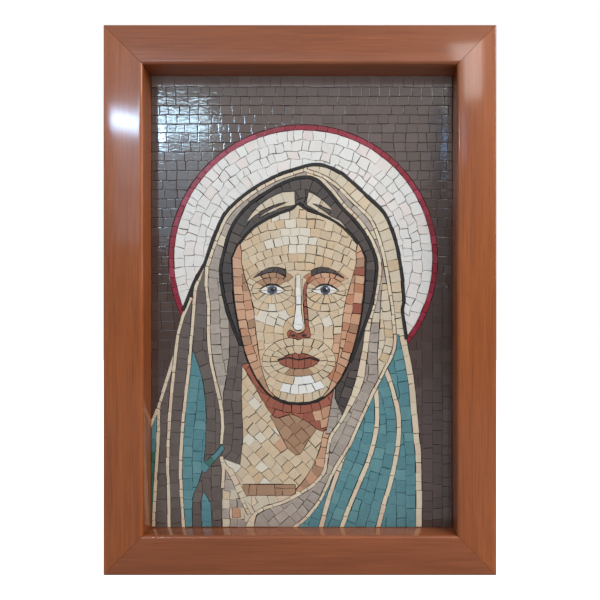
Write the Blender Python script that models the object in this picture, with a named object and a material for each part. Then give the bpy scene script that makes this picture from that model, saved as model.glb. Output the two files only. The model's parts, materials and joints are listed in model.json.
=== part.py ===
"""Framed mosaic panel: a veiled woman with a halo, laid in cut stone and glass.

Metres, +Z up, +X to the right of a viewer, +Y into the wall. The origin is the centre of the
flat back. The drawing's own lines are given in millimetres from the picture's centre.
"""

import math

import bmesh
import bpy
import numpy as np
from mathutils import Vector
from mathutils.geometry import delaunay_2d_cdt, tessellate_polygon

MM = 0.001
GAP = 0.3

# Frame: outer size, width of its face, depth, and the step that holds the backing board
FRAME_WIDTH = 500.0
FRAME_HEIGHT = 700.0
FACE_WIDTH = 50.0
FRAME_DEPTH = 45.0
REBATE_WIDTH = 8.0
OUTER_ROUND = 5.0
LIP_ROUND = 4.0
ROUND_STEPS = 6

# Layers behind the picture's face, as thicknesses
BOARD_THICKNESS = 6.0
BED_THICKNESS = 2.7
TESSERA_THICKNESS = 4.0

# The opening seen inside the frame, which the mosaic fills
PICTURE_WIDTH = FRAME_WIDTH - 2 * FACE_WIDTH
PICTURE_HEIGHT = FRAME_HEIGHT - 2 * FACE_WIDTH
SIDE = PICTURE_WIDTH / 2
TOP = PICTURE_HEIGHT / 2
FLOOR = -TOP - 2.0

# Smooth lines are drawn with a point wherever they have turned this far from the last chord
CHORD_ERROR = 0.35
SPLINE_STEPS = 10

# Halo
HALO_CENTRE = (2.0, 56.0)
HALO_RADIUS = 179.0
RIM_WIDTH = 7.0

# Widths of the lines and strips, and how close a border lies beside a dark line
DARK_LINE = 4.0
FACE_LINE = 3.2
HEM_STRIP = 8.5
FOLD_STRIP = 6.5
THIN_STRIP = 4.8
BESIDE_LINE = (DARK_LINE + THIN_STRIP) / 2

# Veil, from the viewer's left over the crown to the right
VEIL_EDGE = [(-158, -12), (-143, 26), (-129, 50), (-118, 82), (-102, 117), (-72, 145), (-38, 165),
             (-8, 176), (20, 182), (52, 171), (92, 135), (110, 117), (124, 84), (132, 44),
             (136, 4), (134, -14), (139, -50)]
VEIL_LINING = [(-81, -58), (-92, -32), (-101, -4), (-108, 38), (-101, 76), (-92, 101), (-75, 124),
               (-50, 143), (-24, 158), (0, 165), (17, 163), (33, 150), (52, 126), (73, 105),
               (88, 83), (97, 62), (100, 42), (95, 4), (86, -26), (65, -80)]
VEIL_CROWN = [(-22, 168), (4, 180), (14, 171), (2, 160)]
VEIL_BAND_TOP = [(2, 176), (27, 167), (48, 153), (67, 134), (86, 116), (96, 101), (106, 73),
                 (112, 45)]

# Mantle, left side of the picture, each line from its top down
LEFT_HEM = [(-146, 6), (-155, -13), (-160, -26), (-166, -55), (-173, -120), (-176, -158),
            (-178, -206), (-177, -258), (-176, FLOOR)]
LEFT_SPLIT = [(-169, -72), (-178, -100), (-191, -141), (-206, -176)]
LEFT_OUTER_FOLD = [(-190, -139), (-190, -163), (-192, -202), (-195, -253), (-197, FLOOR)]
LEFT_SECOND_FOLD = [(-131, 48), (-137, 28), (-142, 12), (-147, -52), (-150, -90), (-156, -141),
                    (-160, -190), (-161, -235), (-157, FLOOR)]
LEFT_INNER_FOLD = [(-126, 45), (-127, 22), (-124, -4), (-124, -42), (-121, -78), (-113, -113),
                   (-107, -141), (-105, -165), (-107, -190)]
TEAL_LEFT_EDGE = [(-144, -67), (-138, -82), (-130, -114), (-127, -157), (-130, -213), (-137, -240),
                  (-145, -262), (-145, FLOOR)]
TAUPE_LEFT_EDGE = [(-97, -28), (-96, -68), (-100, -102), (-104, -122), (-105, -142)]
HAIR_LEFT_EDGE = [(-79, -80), (-80, -128), (-78, -178), (-82, -217)]
COLLAR_LEFT = [(-107, -206), (-104, -223), (-105, -248), (-106, FLOOR)]
TIE = [(-103, -191), (-117, -209), (-131, -226)]
TEAL_WEDGE = [(-130, -252), (-121, -268), (-119, FLOOR), (-133, FLOOR), (-134, -266)]

# Mantle, right side of the picture, each line from its top down
RIGHT_FOLD_LOW = [(119, 2), (123, -31), (124, -54), (119, -74), (97, -116), (80, -153), (64, -190),
                  (46, -219), (35, -242), (23, -266), (6, -287), (-12, FLOOR)]
NECK_FOLD_LOW = [(97, -2), (90, -30), (84, -80), (79, -109), (67, -134), (51, -161), (38, -181),
                 (34, -203), (30, -226), (17, -242), (0, -254), (-25, -267), (-50, -275),
                 (-66, -287), (-73, FLOOR)]
DRAPE_EDGE = [(107, 24), (104, -20), (101, -66), (101, -90), (103, -116)]
RIGHT_HEM = [(128, -22), (133, -41), (139, -70), (146, -109), (151, -166), (155, -205),
             (156, -258), (156, FLOOR)]
TEAL_FIRST_STRIP = [(58, -197), (49, -224), (38, -255), (25, FLOOR)]
TEAL_SECOND_STRIP = [(98, -110), (100, -138), (99, -172), (88, -213), (67, -263), (52, FLOOR)]
TEAL_THIRD_STRIP = [(111, -88), (123, -124), (129, -155), (128, -190), (121, -229), (110, -267),
                    (101, FLOOR)]
TEAL_TOP = -44

# Head: a plain egg about its own centre line, with eyes halfway down the whole head, brow and
# nose at thirds of the face, and each eye a fifth of the head's width
HEAD_X = -4.0
HEAD_HALF_WIDTH = 88.0
CROWN = 165.0
HAIRLINE = 130.0
CHIN = -136.0
TEMPLE = 58.0
EYE_LEVEL = (CROWN + CHIN) / 2
THIRD = (HAIRLINE - CHIN) / 3
BROW_LEVEL = HAIRLINE - THIRD
NOSE_BASE = CHIN + THIRD
MOUTH_LEVEL = NOSE_BASE - THIRD / 3
EYE_WIDTH = 2 * HEAD_HALF_WIDTH / 5
EYE_HEIGHT = 0.42 * EYE_WIDTH
NOSE_WIDTH = 0.9 * EYE_WIDTH
MOUTH_WIDTH = 1.55 * EYE_WIDTH

# Hair beside the parting, each lock's middle from its root down
LOCK_LEFT_HIGH = [(-9, 139), (-27, 138), (-45, 130), (-60, 120), (-72, 107)]
LOCK_LEFT_LOW = [(-9, 131), (-26, 127), (-42, 120), (-56, 112)]
LOCK_RIGHT_HIGH = [(7, 138), (16, 136), (28, 130), (40, 122)]
LOCK_RIGHT_LOW = [(7, 131), (24, 121), (38, 111), (50, 106), (60, 95)]
LOCK_WIDTH = 14.0
STRAND_WIDTH = 4.0
HAIR_RIGHT_EDGE = [(85, -30), (81, -60), (74, -95), (65, -126), (54, -152)]

# Neck and collar
NECKBAND_TOP = -243.0
NECKBAND_LOW = -258.0
COLLAR_STRIP = [(-105, -212), (-91, -236), (-81, -260), (-70, -283)]
COLLAR = [(-106, -216), (-92, -222), (-72, -262), (-60, -284), (-64, FLOOR), (-106, FLOOR)]
NECK_SIDE_EDGE = [(56, -132), (31, -168), (24, -196), (12, -224), (-9, -252)]

COLOURS = {
    "wood": (0.30, 0.095, 0.035),
    "board": (0.34, 0.22, 0.12),
    "mortar": (0.06, 0.055, 0.05),
    "umber": (0.095, 0.072, 0.062),
    "crimson": (0.36, 0.02, 0.05),
    "cream": (0.76, 0.71, 0.65),
    "ivory": (0.68, 0.58, 0.43),
    "sand": (0.66, 0.55, 0.38),
    "taupe": (0.36, 0.31, 0.27),
    "teal": (0.07, 0.24, 0.25),
    "black": (0.02, 0.018, 0.016),
    "charcoal": (0.085, 0.078, 0.075),
    "skin": (0.68, 0.53, 0.36),
    "peach": (0.50, 0.27, 0.15),
    "terracotta": (0.40, 0.15, 0.08),
    "white": (0.80, 0.80, 0.77),
}


def smooth(points):
    """A Catmull-Rom line through the points, thinned to what its bends need."""
    knots = [np.array(point, float) for point in points]
    knots = [2 * knots[0] - knots[1]] + knots + [2 * knots[-1] - knots[-2]]
    line = []
    for before, start, end, after in zip(knots, knots[1:], knots[2:], knots[3:]):
        for step in range(SPLINE_STEPS):
            t = step / SPLINE_STEPS
            line.append(0.5 * (2 * start + (end - before) * t
                               + (2 * before - 5 * start + 4 * end - after) * t ** 2
                               + (3 * start - before - 3 * end + after) * t ** 3))
    line.append(knots[-2])
    return thin(line)


def thin(line):
    """Keep only the points that stand off the chord between those already kept."""
    start, end = line[0], line[-1]
    chord = end - start
    length = max(math.hypot(*chord), 1e-9)
    offsets = [abs(chord[0] * (p[1] - start[1]) - chord[1] * (p[0] - start[0])) / length
               for p in line]
    farthest = int(np.argmax(offsets))
    if offsets[farthest] < CHORD_ERROR:
        return [start, end]
    return thin(line[:farthest + 1])[:-1] + thin(line[farthest:])


def below(line, height):
    """The part of a falling line under a height, cut exactly there."""
    for index, (upper, lower) in enumerate(zip(line, line[1:])):
        if upper[1] > height >= lower[1]:
            share = (upper[1] - height) / (upper[1] - lower[1])
            return [upper + share * (lower - upper)] + line[index + 1:]
    return line


def stretch(line, high, low):
    """The part of a falling line between two heights."""
    return [point for point in below(line, high) if point[1] > low]


def beside(line, distance):
    """The same line moved to its left by a distance."""
    moved = []
    for index, point in enumerate(line):
        ahead = line[min(index + 1, len(line) - 1)] - line[max(index - 1, 0)]
        ahead = ahead / math.hypot(*ahead)
        moved.append(point + distance * np.array((-ahead[1], ahead[0])))
    return moved


def between(first, second):
    """The closed outline between two lines that run the same way."""
    return list(first) + list(second)[::-1]


def strip(line, width):
    """The closed outline of a band of even width along a line."""
    return between(beside(line, width / 2), beside(line, -width / 2))


def arc(centre, radius_x, radius_z, start, end, steps):
    """Points of an ellipse between two angles in degrees, counted from +X towards +Z."""
    angles = np.radians(np.linspace(start, end, steps + 1))
    return [np.array((centre[0] + radius_x * math.cos(a), centre[1] + radius_z * math.sin(a)))
            for a in angles]


def disc(centre, radius, steps=72):
    return arc(centre, radius, radius, 0, 360, steps)[:-1]


def box(left, low, right, high):
    return [np.array(corner, float)
            for corner in ((left, low), (right, low), (right, high), (left, high))]


def mirrored(outline):
    """The outline on the other side of the face."""
    return [np.array((2 * HEAD_X - x, z)) for x, z in outline][::-1]


def head_side():
    """Right side of the face from temple to chin, a full ellipse with a rounded jaw."""
    return [np.array((HEAD_X + HEAD_HALF_WIDTH * max(math.cos(a), 0.0) ** 0.8,
                      TEMPLE - (TEMPLE - CHIN) * math.sin(a)))
            for a in np.radians(np.linspace(0, 90, 17))]


def hairline_side():
    """Right side of the hairline: from a peak at the parting, arching down to the temple."""
    drops = ((0, 0), (0.13, 0.11), (0.38, 0.22), (0.68, 0.44), (0.90, 0.74), (1, 1))
    return smooth([(HEAD_X + out * HEAD_HALF_WIDTH, HAIRLINE - down * (HAIRLINE - TEMPLE))
                   for out, down in drops])


def face_outline():
    """The whole face, clockwise from the parting."""
    right = hairline_side()[:-1] + head_side()
    return right + mirrored(right)[1:-1]


def cheek_shade():
    """The shaded edge of one cheek, widest at the cheekbone and ending beside the chin."""
    outer = [point for point in hairline_side()[-3:-1] + head_side() if point[1] > CHIN + 8]
    inner = []
    for index, point in enumerate(outer):
        share = index / (len(outer) - 1)
        depth = 2 + 22 * math.sin(math.pi * min(share * 1.05, 1)) ** 0.8
        centre = np.array((HEAD_X, 10.0))
        towards = (centre - point) / math.hypot(*(centre - point))
        inner.append(point + depth * towards)
    return between(outer, inner)


def almond(centre, width, height, lower_share=0.62):
    """A closed lid shape: a high arch above and a flatter one below."""
    half = width / 2
    rise = height / (1 + lower_share)
    across = np.linspace(1, -1, 13)
    upper = [np.array((centre[0] + half * t, centre[1] + rise * (1 - t * t))) for t in across]
    lower = [np.array((centre[0] - half * t, centre[1] - lower_share * rise * (1 - t * t)))
             for t in across]
    return upper[:-1] + lower[:-1]


def eye_centre():
    return (HEAD_X + EYE_WIDTH, EYE_LEVEL)


def brow():
    """One brow, full near the nose and tapering to the temple."""
    start = HEAD_X + 0.48 * EYE_WIDTH
    end = HEAD_X + 1.72 * EYE_WIDTH
    top = []
    low = []
    for share in np.linspace(0, 1, 9):
        x = start + share * (end - start)
        lift = 7.5 * math.sin(math.pi * share ** 0.9) - 6 * share
        thickness = 7.5 * (1 - share) ** 0.55 + 1.2
        top.append(np.array((x, BROW_LEVEL - 4 + lift + thickness / 2)))
        low.append(np.array((x, BROW_LEVEL - 4 + lift - thickness / 2)))
    return between(low, top)


def nose_light():
    """The lit ridge, slim between the brows and swelling to a round tip."""
    tip = NOSE_BASE + 12
    right = [(HEAD_X + 2.6, BROW_LEVEL - 6), (HEAD_X + 2.8, EYE_LEVEL),
             (HEAD_X + 3.6, EYE_LEVEL - 26), (HEAD_X + 5.5, tip + 8)]
    left = [(HEAD_X - 6.5, tip + 8), (HEAD_X - 4.6, EYE_LEVEL - 26),
            (HEAD_X - 3.8, EYE_LEVEL), (HEAD_X - 4.0, BROW_LEVEL - 6)]
    return smooth(left) + smooth(right) + arc((HEAD_X - 0.5, tip + 4), 7.5, 7.5, 0, -180, 8)


def nose_shade():
    """Shade from one brow down the side of the ridge, then under the tip and round the wings."""
    wing = NOSE_WIDTH / 2
    return smooth([(HEAD_X + 13, BROW_LEVEL - 9), (HEAD_X + 7.5, BROW_LEVEL - 18),
                   (HEAD_X + 5.5, EYE_LEVEL - 6), (HEAD_X + 7, EYE_LEVEL - 30),
                   (HEAD_X + 8.5, NOSE_BASE + 14), (HEAD_X + 7, NOSE_BASE + 8),
                   (HEAD_X, NOSE_BASE + 5), (HEAD_X - 8, NOSE_BASE + 8),
                   (HEAD_X - wing + 3, NOSE_BASE + 9.5), (HEAD_X - wing - 0.5, NOSE_BASE + 3),
                   (HEAD_X - wing + 3, NOSE_BASE - 1.5), (HEAD_X - 6, NOSE_BASE - 1.5),
                   (HEAD_X, NOSE_BASE - 4), (HEAD_X + 6, NOSE_BASE - 1.5),
                   (HEAD_X + wing - 3, NOSE_BASE - 1.5), (HEAD_X + wing + 0.5, NOSE_BASE + 3),
                   (HEAD_X + wing - 2, NOSE_BASE + 11), (HEAD_X + 12, EYE_LEVEL - 32),
                   (HEAD_X + 10, EYE_LEVEL - 6), (HEAD_X + 12, BROW_LEVEL - 17),
                   (HEAD_X + 17, BROW_LEVEL - 9)])


def lips():
    half = MOUTH_WIDTH / 2
    upper = [(HEAD_X + half, MOUTH_LEVEL), (HEAD_X + 0.45 * half, MOUTH_LEVEL + 6.5),
             (HEAD_X + 0.16 * half, MOUTH_LEVEL + 8.5), (HEAD_X, MOUTH_LEVEL + 6.5)]
    right = [np.array(point) for point in upper]
    lower = arc((HEAD_X, MOUTH_LEVEL), half, 12.5, 270, 360, 6)[:-1]
    return right + mirrored(right)[1:] + mirrored(lower)[:-1] + lower


def neck_shadow():
    """The shade that the jaw throws on the neck, deepest under the chin's right side."""
    low = smooth([(-80, -84), (-66, -106), (-38, -152), (-14, -150), (8, -160), (30, -172),
                  (52, -140), (62, -104)])
    return low + [np.array((HEAD_X, -60.0))]


def throat():
    return smooth([(-42, -152), (-22, -142), (6, -150), (20, -166), (8, -186), (-4, -204),
                   (-18, -196)])


def lock(line, root_width):
    """A lock of hair along a line, full at its root and drawn out to a point."""
    line = smooth(line)
    high = []
    low = []
    for index, point in enumerate(line):
        ahead = line[min(index + 1, len(line) - 1)] - line[max(index - 1, 0)]
        ahead = ahead / math.hypot(*ahead)
        share = index / (len(line) - 1)
        half = root_width / 2 * (1 - share) ** 0.7 + 0.7
        high.append(point + half * np.array((-ahead[1], ahead[0])))
        low.append(point - half * np.array((-ahead[1], ahead[0])))
    return between(high, low)


def picture_fields():
    """Every field as (name, colour, outline), each laid over the ones before it.

    A name may come more than once: its outlines then make one field.
    """
    veil_edge = smooth(VEIL_EDGE)
    crown = int(np.argmax([point[1] for point in veil_edge]))
    lining = smooth(VEIL_LINING)
    left_hem = smooth(LEFT_HEM)
    left_split = smooth(LEFT_SPLIT)
    outer_fold = smooth(LEFT_OUTER_FOLD)
    second_fold = smooth(LEFT_SECOND_FOLD)
    veil_edge_left = [point for point in beside(veil_edge[:crown], -BESIDE_LINE)
                      if point[1] > LEFT_INNER_FOLD[0][1] + 8]
    inner_fold = veil_edge_left[::-1] + smooth(LEFT_INNER_FOLD)
    apex = int(np.argmax([point[1] for point in lining]))
    lining_right = [point for point in beside(lining[apex:], BESIDE_LINE) if point[1] > 20]
    teal_left_edge = smooth(TEAL_LEFT_EDGE)
    taupe_left_edge = smooth(TAUPE_LEFT_EDGE)
    hair_left_edge = smooth(HAIR_LEFT_EDGE)
    collar_left = smooth(COLLAR_LEFT)
    right_fold = smooth(VEIL_BAND_TOP + RIGHT_FOLD_LOW)
    neck_fold = lining_right + smooth(NECK_FOLD_LOW)
    drape_edge = smooth(DRAPE_EDGE)
    right_hem = smooth(RIGHT_HEM)
    first_strip = smooth(TEAL_FIRST_STRIP)
    second_strip = smooth(TEAL_SECOND_STRIP)
    third_strip = smooth(TEAL_THIRD_STRIP)
    tie = smooth(TIE)

    figure = veil_edge + below(right_hem, -60) + left_hem[::-1]
    veil_right = veil_edge[crown:] + below(right_fold, TEAL_TOP)[:1] + right_fold[::-1]
    under_lining = lining + [np.array((HEAD_X, CHIN + 30))]
    fall_left = between(below(inner_fold, -20), [np.array((-80.0, -20.0))] + hair_left_edge)
    drape_inner = between([np.array((60.0, -20.0)), np.array((32.0, -176.0))],
                          stretch(neck_fold, -20, -176))
    fall_right = between(smooth(HAIR_RIGHT_EDGE), [np.array((50.0, -30.0)),
                                                   np.array((44.0, -128.0))])
    neck = (hair_left_edge + [np.array((-107.0, -208.0))] + collar_left[1:]
            + below(neck_fold, -60)[::-1] + [np.array((HEAD_X, -40.0))])
    teal_bottom = [np.array((-SIDE - 6, -170.0)), np.array((-SIDE - 6, FLOOR))]

    return [
        ("background", "umber", box(-SIDE, -TOP, SIDE, TOP)),
        ("halo_rim", "crimson", disc(HALO_CENTRE, HALO_RADIUS)),
        ("halo_field", "cream", disc(HALO_CENTRE, HALO_RADIUS - RIM_WIDTH)),
        ("mantle_fold_outer", "umber", between(left_split[:-1] + outer_fold[1:],
                                               below(left_hem, -70))),
        ("mantle_edge", "teal", between(teal_bottom, outer_fold)),
        ("mantle_fold_middle", "umber", figure),
        ("mantle_fold_inner", "umber", between(second_fold, below(inner_fold, 46) + collar_left)),
        ("mantle_fold_lower", "umber", between(below(teal_left_edge, -214),
                                               [tie[0]] + collar_left)),
        ("teal_fold_left", "teal", between(below(second_fold, -60), teal_left_edge)),
        ("teal_fold_left", "teal", strip(tie, 6.5)),
        ("teal_wedge", "teal", [np.array(point, float) for point in TEAL_WEDGE]),
        ("veil_band_left", "taupe", between(inner_fold, lining[:9][::-1] + taupe_left_edge)),
        ("hair_fall_left", "umber", fall_left),
        ("veil_band_left", "taupe", between(below(inner_fold, 20),
                                            [np.array((-100.0, 20.0))] + taupe_left_edge)),
        ("veil_band_left", "taupe", [np.array(point, float) for point in VEIL_CROWN]),
        ("veil_outer_band_right", "sand", veil_right),
        ("teal_fold_outer", "teal", between(below(right_fold, TEAL_TOP),
                                            below(right_hem, TEAL_TOP))),
        ("teal_fold_third", "teal", between(below(right_fold, -92), third_strip)),
        ("teal_fold_second", "teal", between(below(right_fold, -114), second_strip)),
        ("teal_fold_first", "teal", between(below(right_fold, -194), first_strip)),
        ("drape_fold_right", "taupe", between(right_fold, neck_fold)),
        ("drape_light_right", "sand", between(drape_edge, stretch(right_fold, 24, -114))),
        ("neck", "skin", neck),
        ("neck_side", "peach", between(smooth(NECK_SIDE_EDGE), stretch(neck_fold, -132, -258))),
        ("throat", "taupe", throat()),
        ("neckband", "terracotta", box(-79, NECKBAND_LOW, -8, NECKBAND_TOP)),
        ("collar", "taupe", [np.array(point, float) for point in COLLAR]),
        ("collar_trim", "ivory", between([np.array((-84.0, NECKBAND_LOW)),
                                          np.array((-6.0, NECKBAND_LOW))],
                                         stretch(neck_fold, -256, -282)[::-1])),
        ("neck_shadow", "terracotta", neck_shadow()),
        ("drape_inner_right", "taupe", drape_inner),
        ("hair_fall_right", "charcoal", fall_right),
        ("hair", "charcoal", under_lining),
        ("light_locks_left", "sand", lock(LOCK_LEFT_HIGH, LOCK_WIDTH)),
        ("light_locks_left", "sand", lock(LOCK_LEFT_LOW, STRAND_WIDTH)),
        ("light_locks_right", "sand", lock(LOCK_RIGHT_HIGH, LOCK_WIDTH)),
        ("light_locks_right", "sand", lock(LOCK_RIGHT_LOW, STRAND_WIDTH)),
        ("face_line", "black", beside(face_outline(), FACE_LINE / 2)),
        ("face", "skin", beside(face_outline(), -FACE_LINE / 2)),
        ("cheek_right", "peach", cheek_shade()),
        ("cheek_left", "peach", mirrored(cheek_shade())),
        ("nose_shade", "terracotta", nose_shade()),
        ("nose_light", "white", nose_light()),
        ("lips", "terracotta", lips()),
        ("brow_right", "charcoal", brow()),
        ("brow_left", "charcoal", mirrored(brow())),
        ("eye_right", "white", almond(eye_centre(), EYE_WIDTH, EYE_HEIGHT)),
        ("eye_left", "white", mirrored(almond(eye_centre(), EYE_WIDTH, EYE_HEIGHT))),
        ("collar_trim", "ivory", strip(smooth(COLLAR_STRIP), THIN_STRIP)),
        ("collar_trim", "ivory", strip(collar_left[:-1], THIN_STRIP)),
        ("inner_fold_strip", "ivory", strip(inner_fold, THIN_STRIP)),
        ("second_fold_strip", "ivory", strip(second_fold, THIN_STRIP)),
        ("outer_fold_strip", "ivory", strip(left_split, THIN_STRIP)),
        ("outer_fold_strip", "ivory", strip(outer_fold, THIN_STRIP)),
        ("left_hem_strip", "ivory", strip(left_hem, THIN_STRIP)),
        ("teal_first_strip", "ivory", strip(first_strip, FOLD_STRIP)),
        ("teal_second_strip", "ivory", strip(second_strip, FOLD_STRIP)),
        ("teal_third_strip", "ivory", strip(third_strip, FOLD_STRIP)),
        ("neck_fold_strip", "ivory", strip(neck_fold, THIN_STRIP)),
        ("right_fold_strip", "ivory", strip(right_fold, THIN_STRIP)),
        ("right_hem_strip", "ivory", strip(right_hem, HEM_STRIP)),
        ("lining_line", "black", strip(lining, DARK_LINE)),
        ("veil_edge_line", "black", strip(veil_edge, DARK_LINE)),
    ]


def inside(outline, points):
    """Which of the points lie inside the closed outline, by winding number."""
    winding = np.zeros(len(points), int)
    x, z = points[:, 0], points[:, 1]
    for (x0, z0), (x1, z1) in zip(outline, outline[1:] + outline[:1]):
        side = (x1 - x0) * (z - z0) - (x - x0) * (z1 - z0)
        winding += (z0 <= z) & (z1 > z) & (side > 0)
        winding -= (z0 > z) & (z1 <= z) & (side < 0)
    return winding != 0


def lay_out(fields):
    """Cut the picture along every outline and give each scrap to the top field there.

    Returns the corner points, and for each field the triangles that make it up.
    """
    corners = []
    edges = []
    for _, _, outline in fields:
        first = len(corners)
        corners += [Vector(point) for point in outline]
        edges += [(first + i, first + (i + 1) % len(outline)) for i in range(len(outline))]
    points, _, triangles, _, _, _ = delaunay_2d_cdt(corners, edges, [], 0, 0.02)
    points = np.array(points)
    centres = points[np.array(triangles)].mean(axis=1)
    owner = np.full(len(triangles), -1)
    for index, (_, _, outline) in enumerate(fields):
        owner[inside([tuple(p) for p in outline], centres)] = index
    outside = ~inside([tuple(p) for p in fields[0][2]], centres)
    owner[outside] = -1
    names = [name for name, _, _ in fields]
    owner = [names[index] if index >= 0 else None for index in owner]
    give_away_crumbs(points, triangles, owner)
    return points, triangles, owner


def edge_neighbours(triangles):
    sides = {}
    for index, triangle in enumerate(triangles):
        for i in range(3):
            sides.setdefault(frozenset((triangle[i], triangle[i - 1])), []).append(index)
    return sides


def give_away_crumbs(points, triangles, owner):
    """Leave each field in one piece: its smaller scraps go to the field they touch most."""
    sides = edge_neighbours(triangles)
    links = {index: [] for index in range(len(triangles))}
    for side, pair in sides.items():
        if len(pair) == 2:
            a, b = side
            length = math.hypot(*(points[a] - points[b]))
            links[pair[0]].append((pair[1], length))
            links[pair[1]].append((pair[0], length))
    for name in sorted(set(filter(None, owner))):
        scraps = scraps_of(name, owner, links)
        scraps.sort(key=lambda scrap: area_of(scrap, points, triangles))
        for scrap in scraps[:-1]:
            share = {}
            for index in scrap:
                for other, length in links[index]:
                    if owner[other] not in (None, name):
                        share[owner[other]] = share.get(owner[other], 0) + length
            taker = max(sorted(share), key=share.get)
            for index in scrap:
                owner[index] = taker


def scraps_of(name, owner, links):
    """The connected groups of triangles that one field has."""
    left = {index for index, field in enumerate(owner) if field == name}
    groups = []
    while left:
        group = [left.pop()]
        for index in group:
            for other, _ in links[index]:
                if other in left:
                    left.remove(other)
                    group.append(other)
        groups.append(sorted(group))
    return groups


def area_of(group, points, triangles):
    total = 0.0
    for index in group:
        a, b, c = (points[corner] for corner in triangles[index])
        total += abs((b[0] - a[0]) * (c[1] - a[1]) - (c[0] - a[0]) * (b[1] - a[1])) / 2
    return total


def border_loops(name, points, triangles, owner):
    """The field's closed borders, outer ones anticlockwise and holes clockwise."""
    following = {}
    for index, triangle in enumerate(triangles):
        if owner[index] != name:
            continue
        for i in range(3):
            start, end = triangle[i], triangle[(i + 1) % 3]
            following.setdefault(start, set()).add(end)
    border = {}
    for start, ends in following.items():
        for end in ends:
            if start not in following.get(end, ()):
                border.setdefault(start, []).append(end)
    loops = []
    while border:
        start = min(border)
        loop = [start]
        current = next_corner(border, start, None, points)
        while current != start:
            previous = loop[-1]
            loop.append(current)
            current = next_corner(border, current, previous, points)
        loops.append(loop)
    return loops


def next_corner(border, corner, previous, points):
    """Follow the border, turning as sharply left as it allows where it touches itself."""
    choices = border[corner]
    pick = 0
    if len(choices) > 1 and previous is not None:
        back = points[previous] - points[corner]

        def turn(end):
            ahead = points[end] - points[corner]
            angle = math.atan2(ahead[1], ahead[0]) - math.atan2(back[1], back[0])
            return angle % (2 * math.pi)
        pick = max(range(len(choices)), key=lambda i: turn(choices[i]))
    chosen = choices.pop(pick)
    if not choices:
        del border[corner]
    return chosen


def tidy_loop(loop, tolerance=0.12):
    """Drop corners that lie on the straight line between their neighbours."""
    kept = list(loop)
    changed = True
    while changed and len(kept) > 4:
        changed = False
        for index in range(len(kept)):
            before, point, after = kept[index - 1], kept[index], kept[(index + 1) % len(kept)]
            chord = after - before
            length = max(math.hypot(*chord), 1e-6)
            away = chord[0] * (point[1] - before[1]) - chord[1] * (point[0] - before[0])
            if abs(away) / length < tolerance or math.hypot(*(point - before)) < 0.3:
                del kept[index]
                changed = True
                break
    return kept


def drawn_in(loop, distance):
    """The loop moved into its own field by a distance, with sharp corners held back."""
    moved = []
    for index, point in enumerate(loop):
        before = point - loop[index - 1]
        after = loop[(index + 1) % len(loop)] - point
        before = before / max(math.hypot(*before), 1e-9)
        after = after / max(math.hypot(*after), 1e-9)
        normal = np.array((-before[1] - after[1], before[0] + after[0]))
        scale = distance / max(1 + float(before @ after), 0.25)
        moved.append(point + scale * normal)
    return moved


def make_object(name, colour, mesh):
    """Put a mesh in the scene under its own material."""
    material = bpy.data.materials.new(name)
    material.use_nodes = True
    shader = material.node_tree.nodes["Principled BSDF"]
    shader.inputs["Base Color"].default_value = (*COLOURS[colour], 1.0)
    shader.inputs["Roughness"].default_value = 0.3 if colour in ("wood", "umber") else 0.55
    shader.inputs["Metallic"].default_value = 0.0
    mesh.materials.append(material)
    model = bpy.data.objects.new(name, mesh)
    bpy.context.scene.collection.objects.link(model)
    return model


def prism(name, loops, back, front):
    """A flat slab with the given outlines, between two depths counted from the wall."""
    build = bmesh.new()
    rings = []
    for loop in loops:
        behind = [build.verts.new((x * MM, -back * MM, z * MM)) for x, z in loop]
        ahead = [build.verts.new((x * MM, -front * MM, z * MM)) for x, z in loop]
        rings.append((behind, ahead))
        for i in range(len(loop)):
            j = (i + 1) % len(loop)
            build.faces.new((behind[i], behind[j], ahead[j], ahead[i]))
    flat = [[Vector((x, z, 0.0)) for x, z in loop] for loop in loops]
    behind = [vertex for ring, _ in rings for vertex in ring]
    ahead = [vertex for _, ring in rings for vertex in ring]
    for triangle in tessellate_polygon(flat):
        build.faces.new([ahead[i] for i in triangle])
        build.faces.new([behind[i] for i in reversed(triangle)])
    bmesh.ops.recalc_face_normals(build, faces=build.faces)
    mesh = bpy.data.meshes.new(name)
    build.to_mesh(mesh)
    build.free()
    return mesh


def moulding_profile():
    """Half of the frame's section as (distance in from the outer edge, depth from the wall)."""
    front = FRAME_DEPTH
    lip = FACE_WIDTH
    profile = [(0.0, 0.0)]
    for point in arc((OUTER_ROUND, front - OUTER_ROUND), OUTER_ROUND, OUTER_ROUND, 180, 90,
                     ROUND_STEPS):
        profile.append(tuple(point))
    for point in arc((lip - LIP_ROUND, front - LIP_ROUND), LIP_ROUND, LIP_ROUND, 90, 0,
                     ROUND_STEPS):
        profile.append(tuple(point))
    profile.append((lip, BOARD_THICKNESS + GAP))
    profile.append((lip - REBATE_WIDTH, BOARD_THICKNESS + GAP))
    profile.append((lip - REBATE_WIDTH, 0.0))
    return profile


def frame_member(name, half_length, half_across, turn):
    """One mitred member, made as the top one and then turned about the panel's middle."""
    build = bmesh.new()
    ends = []
    for side in (-1, 1):
        ring = []
        for inward, depth in moulding_profile():
            reach = half_length - inward - GAP / 2 * math.sqrt(2)
            ring.append(build.verts.new((side * reach * MM, -depth * MM,
                                         (half_across - inward) * MM)))
        ends.append(ring)
        build.faces.new(ring)
    count = len(ends[0])
    for i in range(count):
        j = (i + 1) % count
        build.faces.new((ends[0][i], ends[0][j], ends[1][j], ends[1][i]))
    bmesh.ops.recalc_face_normals(build, faces=build.faces)
    mesh = bpy.data.meshes.new(name)
    build.to_mesh(mesh)
    build.free()
    mesh.shade_smooth()
    mesh.set_sharp_from_angle(angle=math.radians(40))
    member = make_object(name, "wood", mesh)
    member.rotation_euler = (0.0, math.radians(turn), 0.0)
    return member


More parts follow.
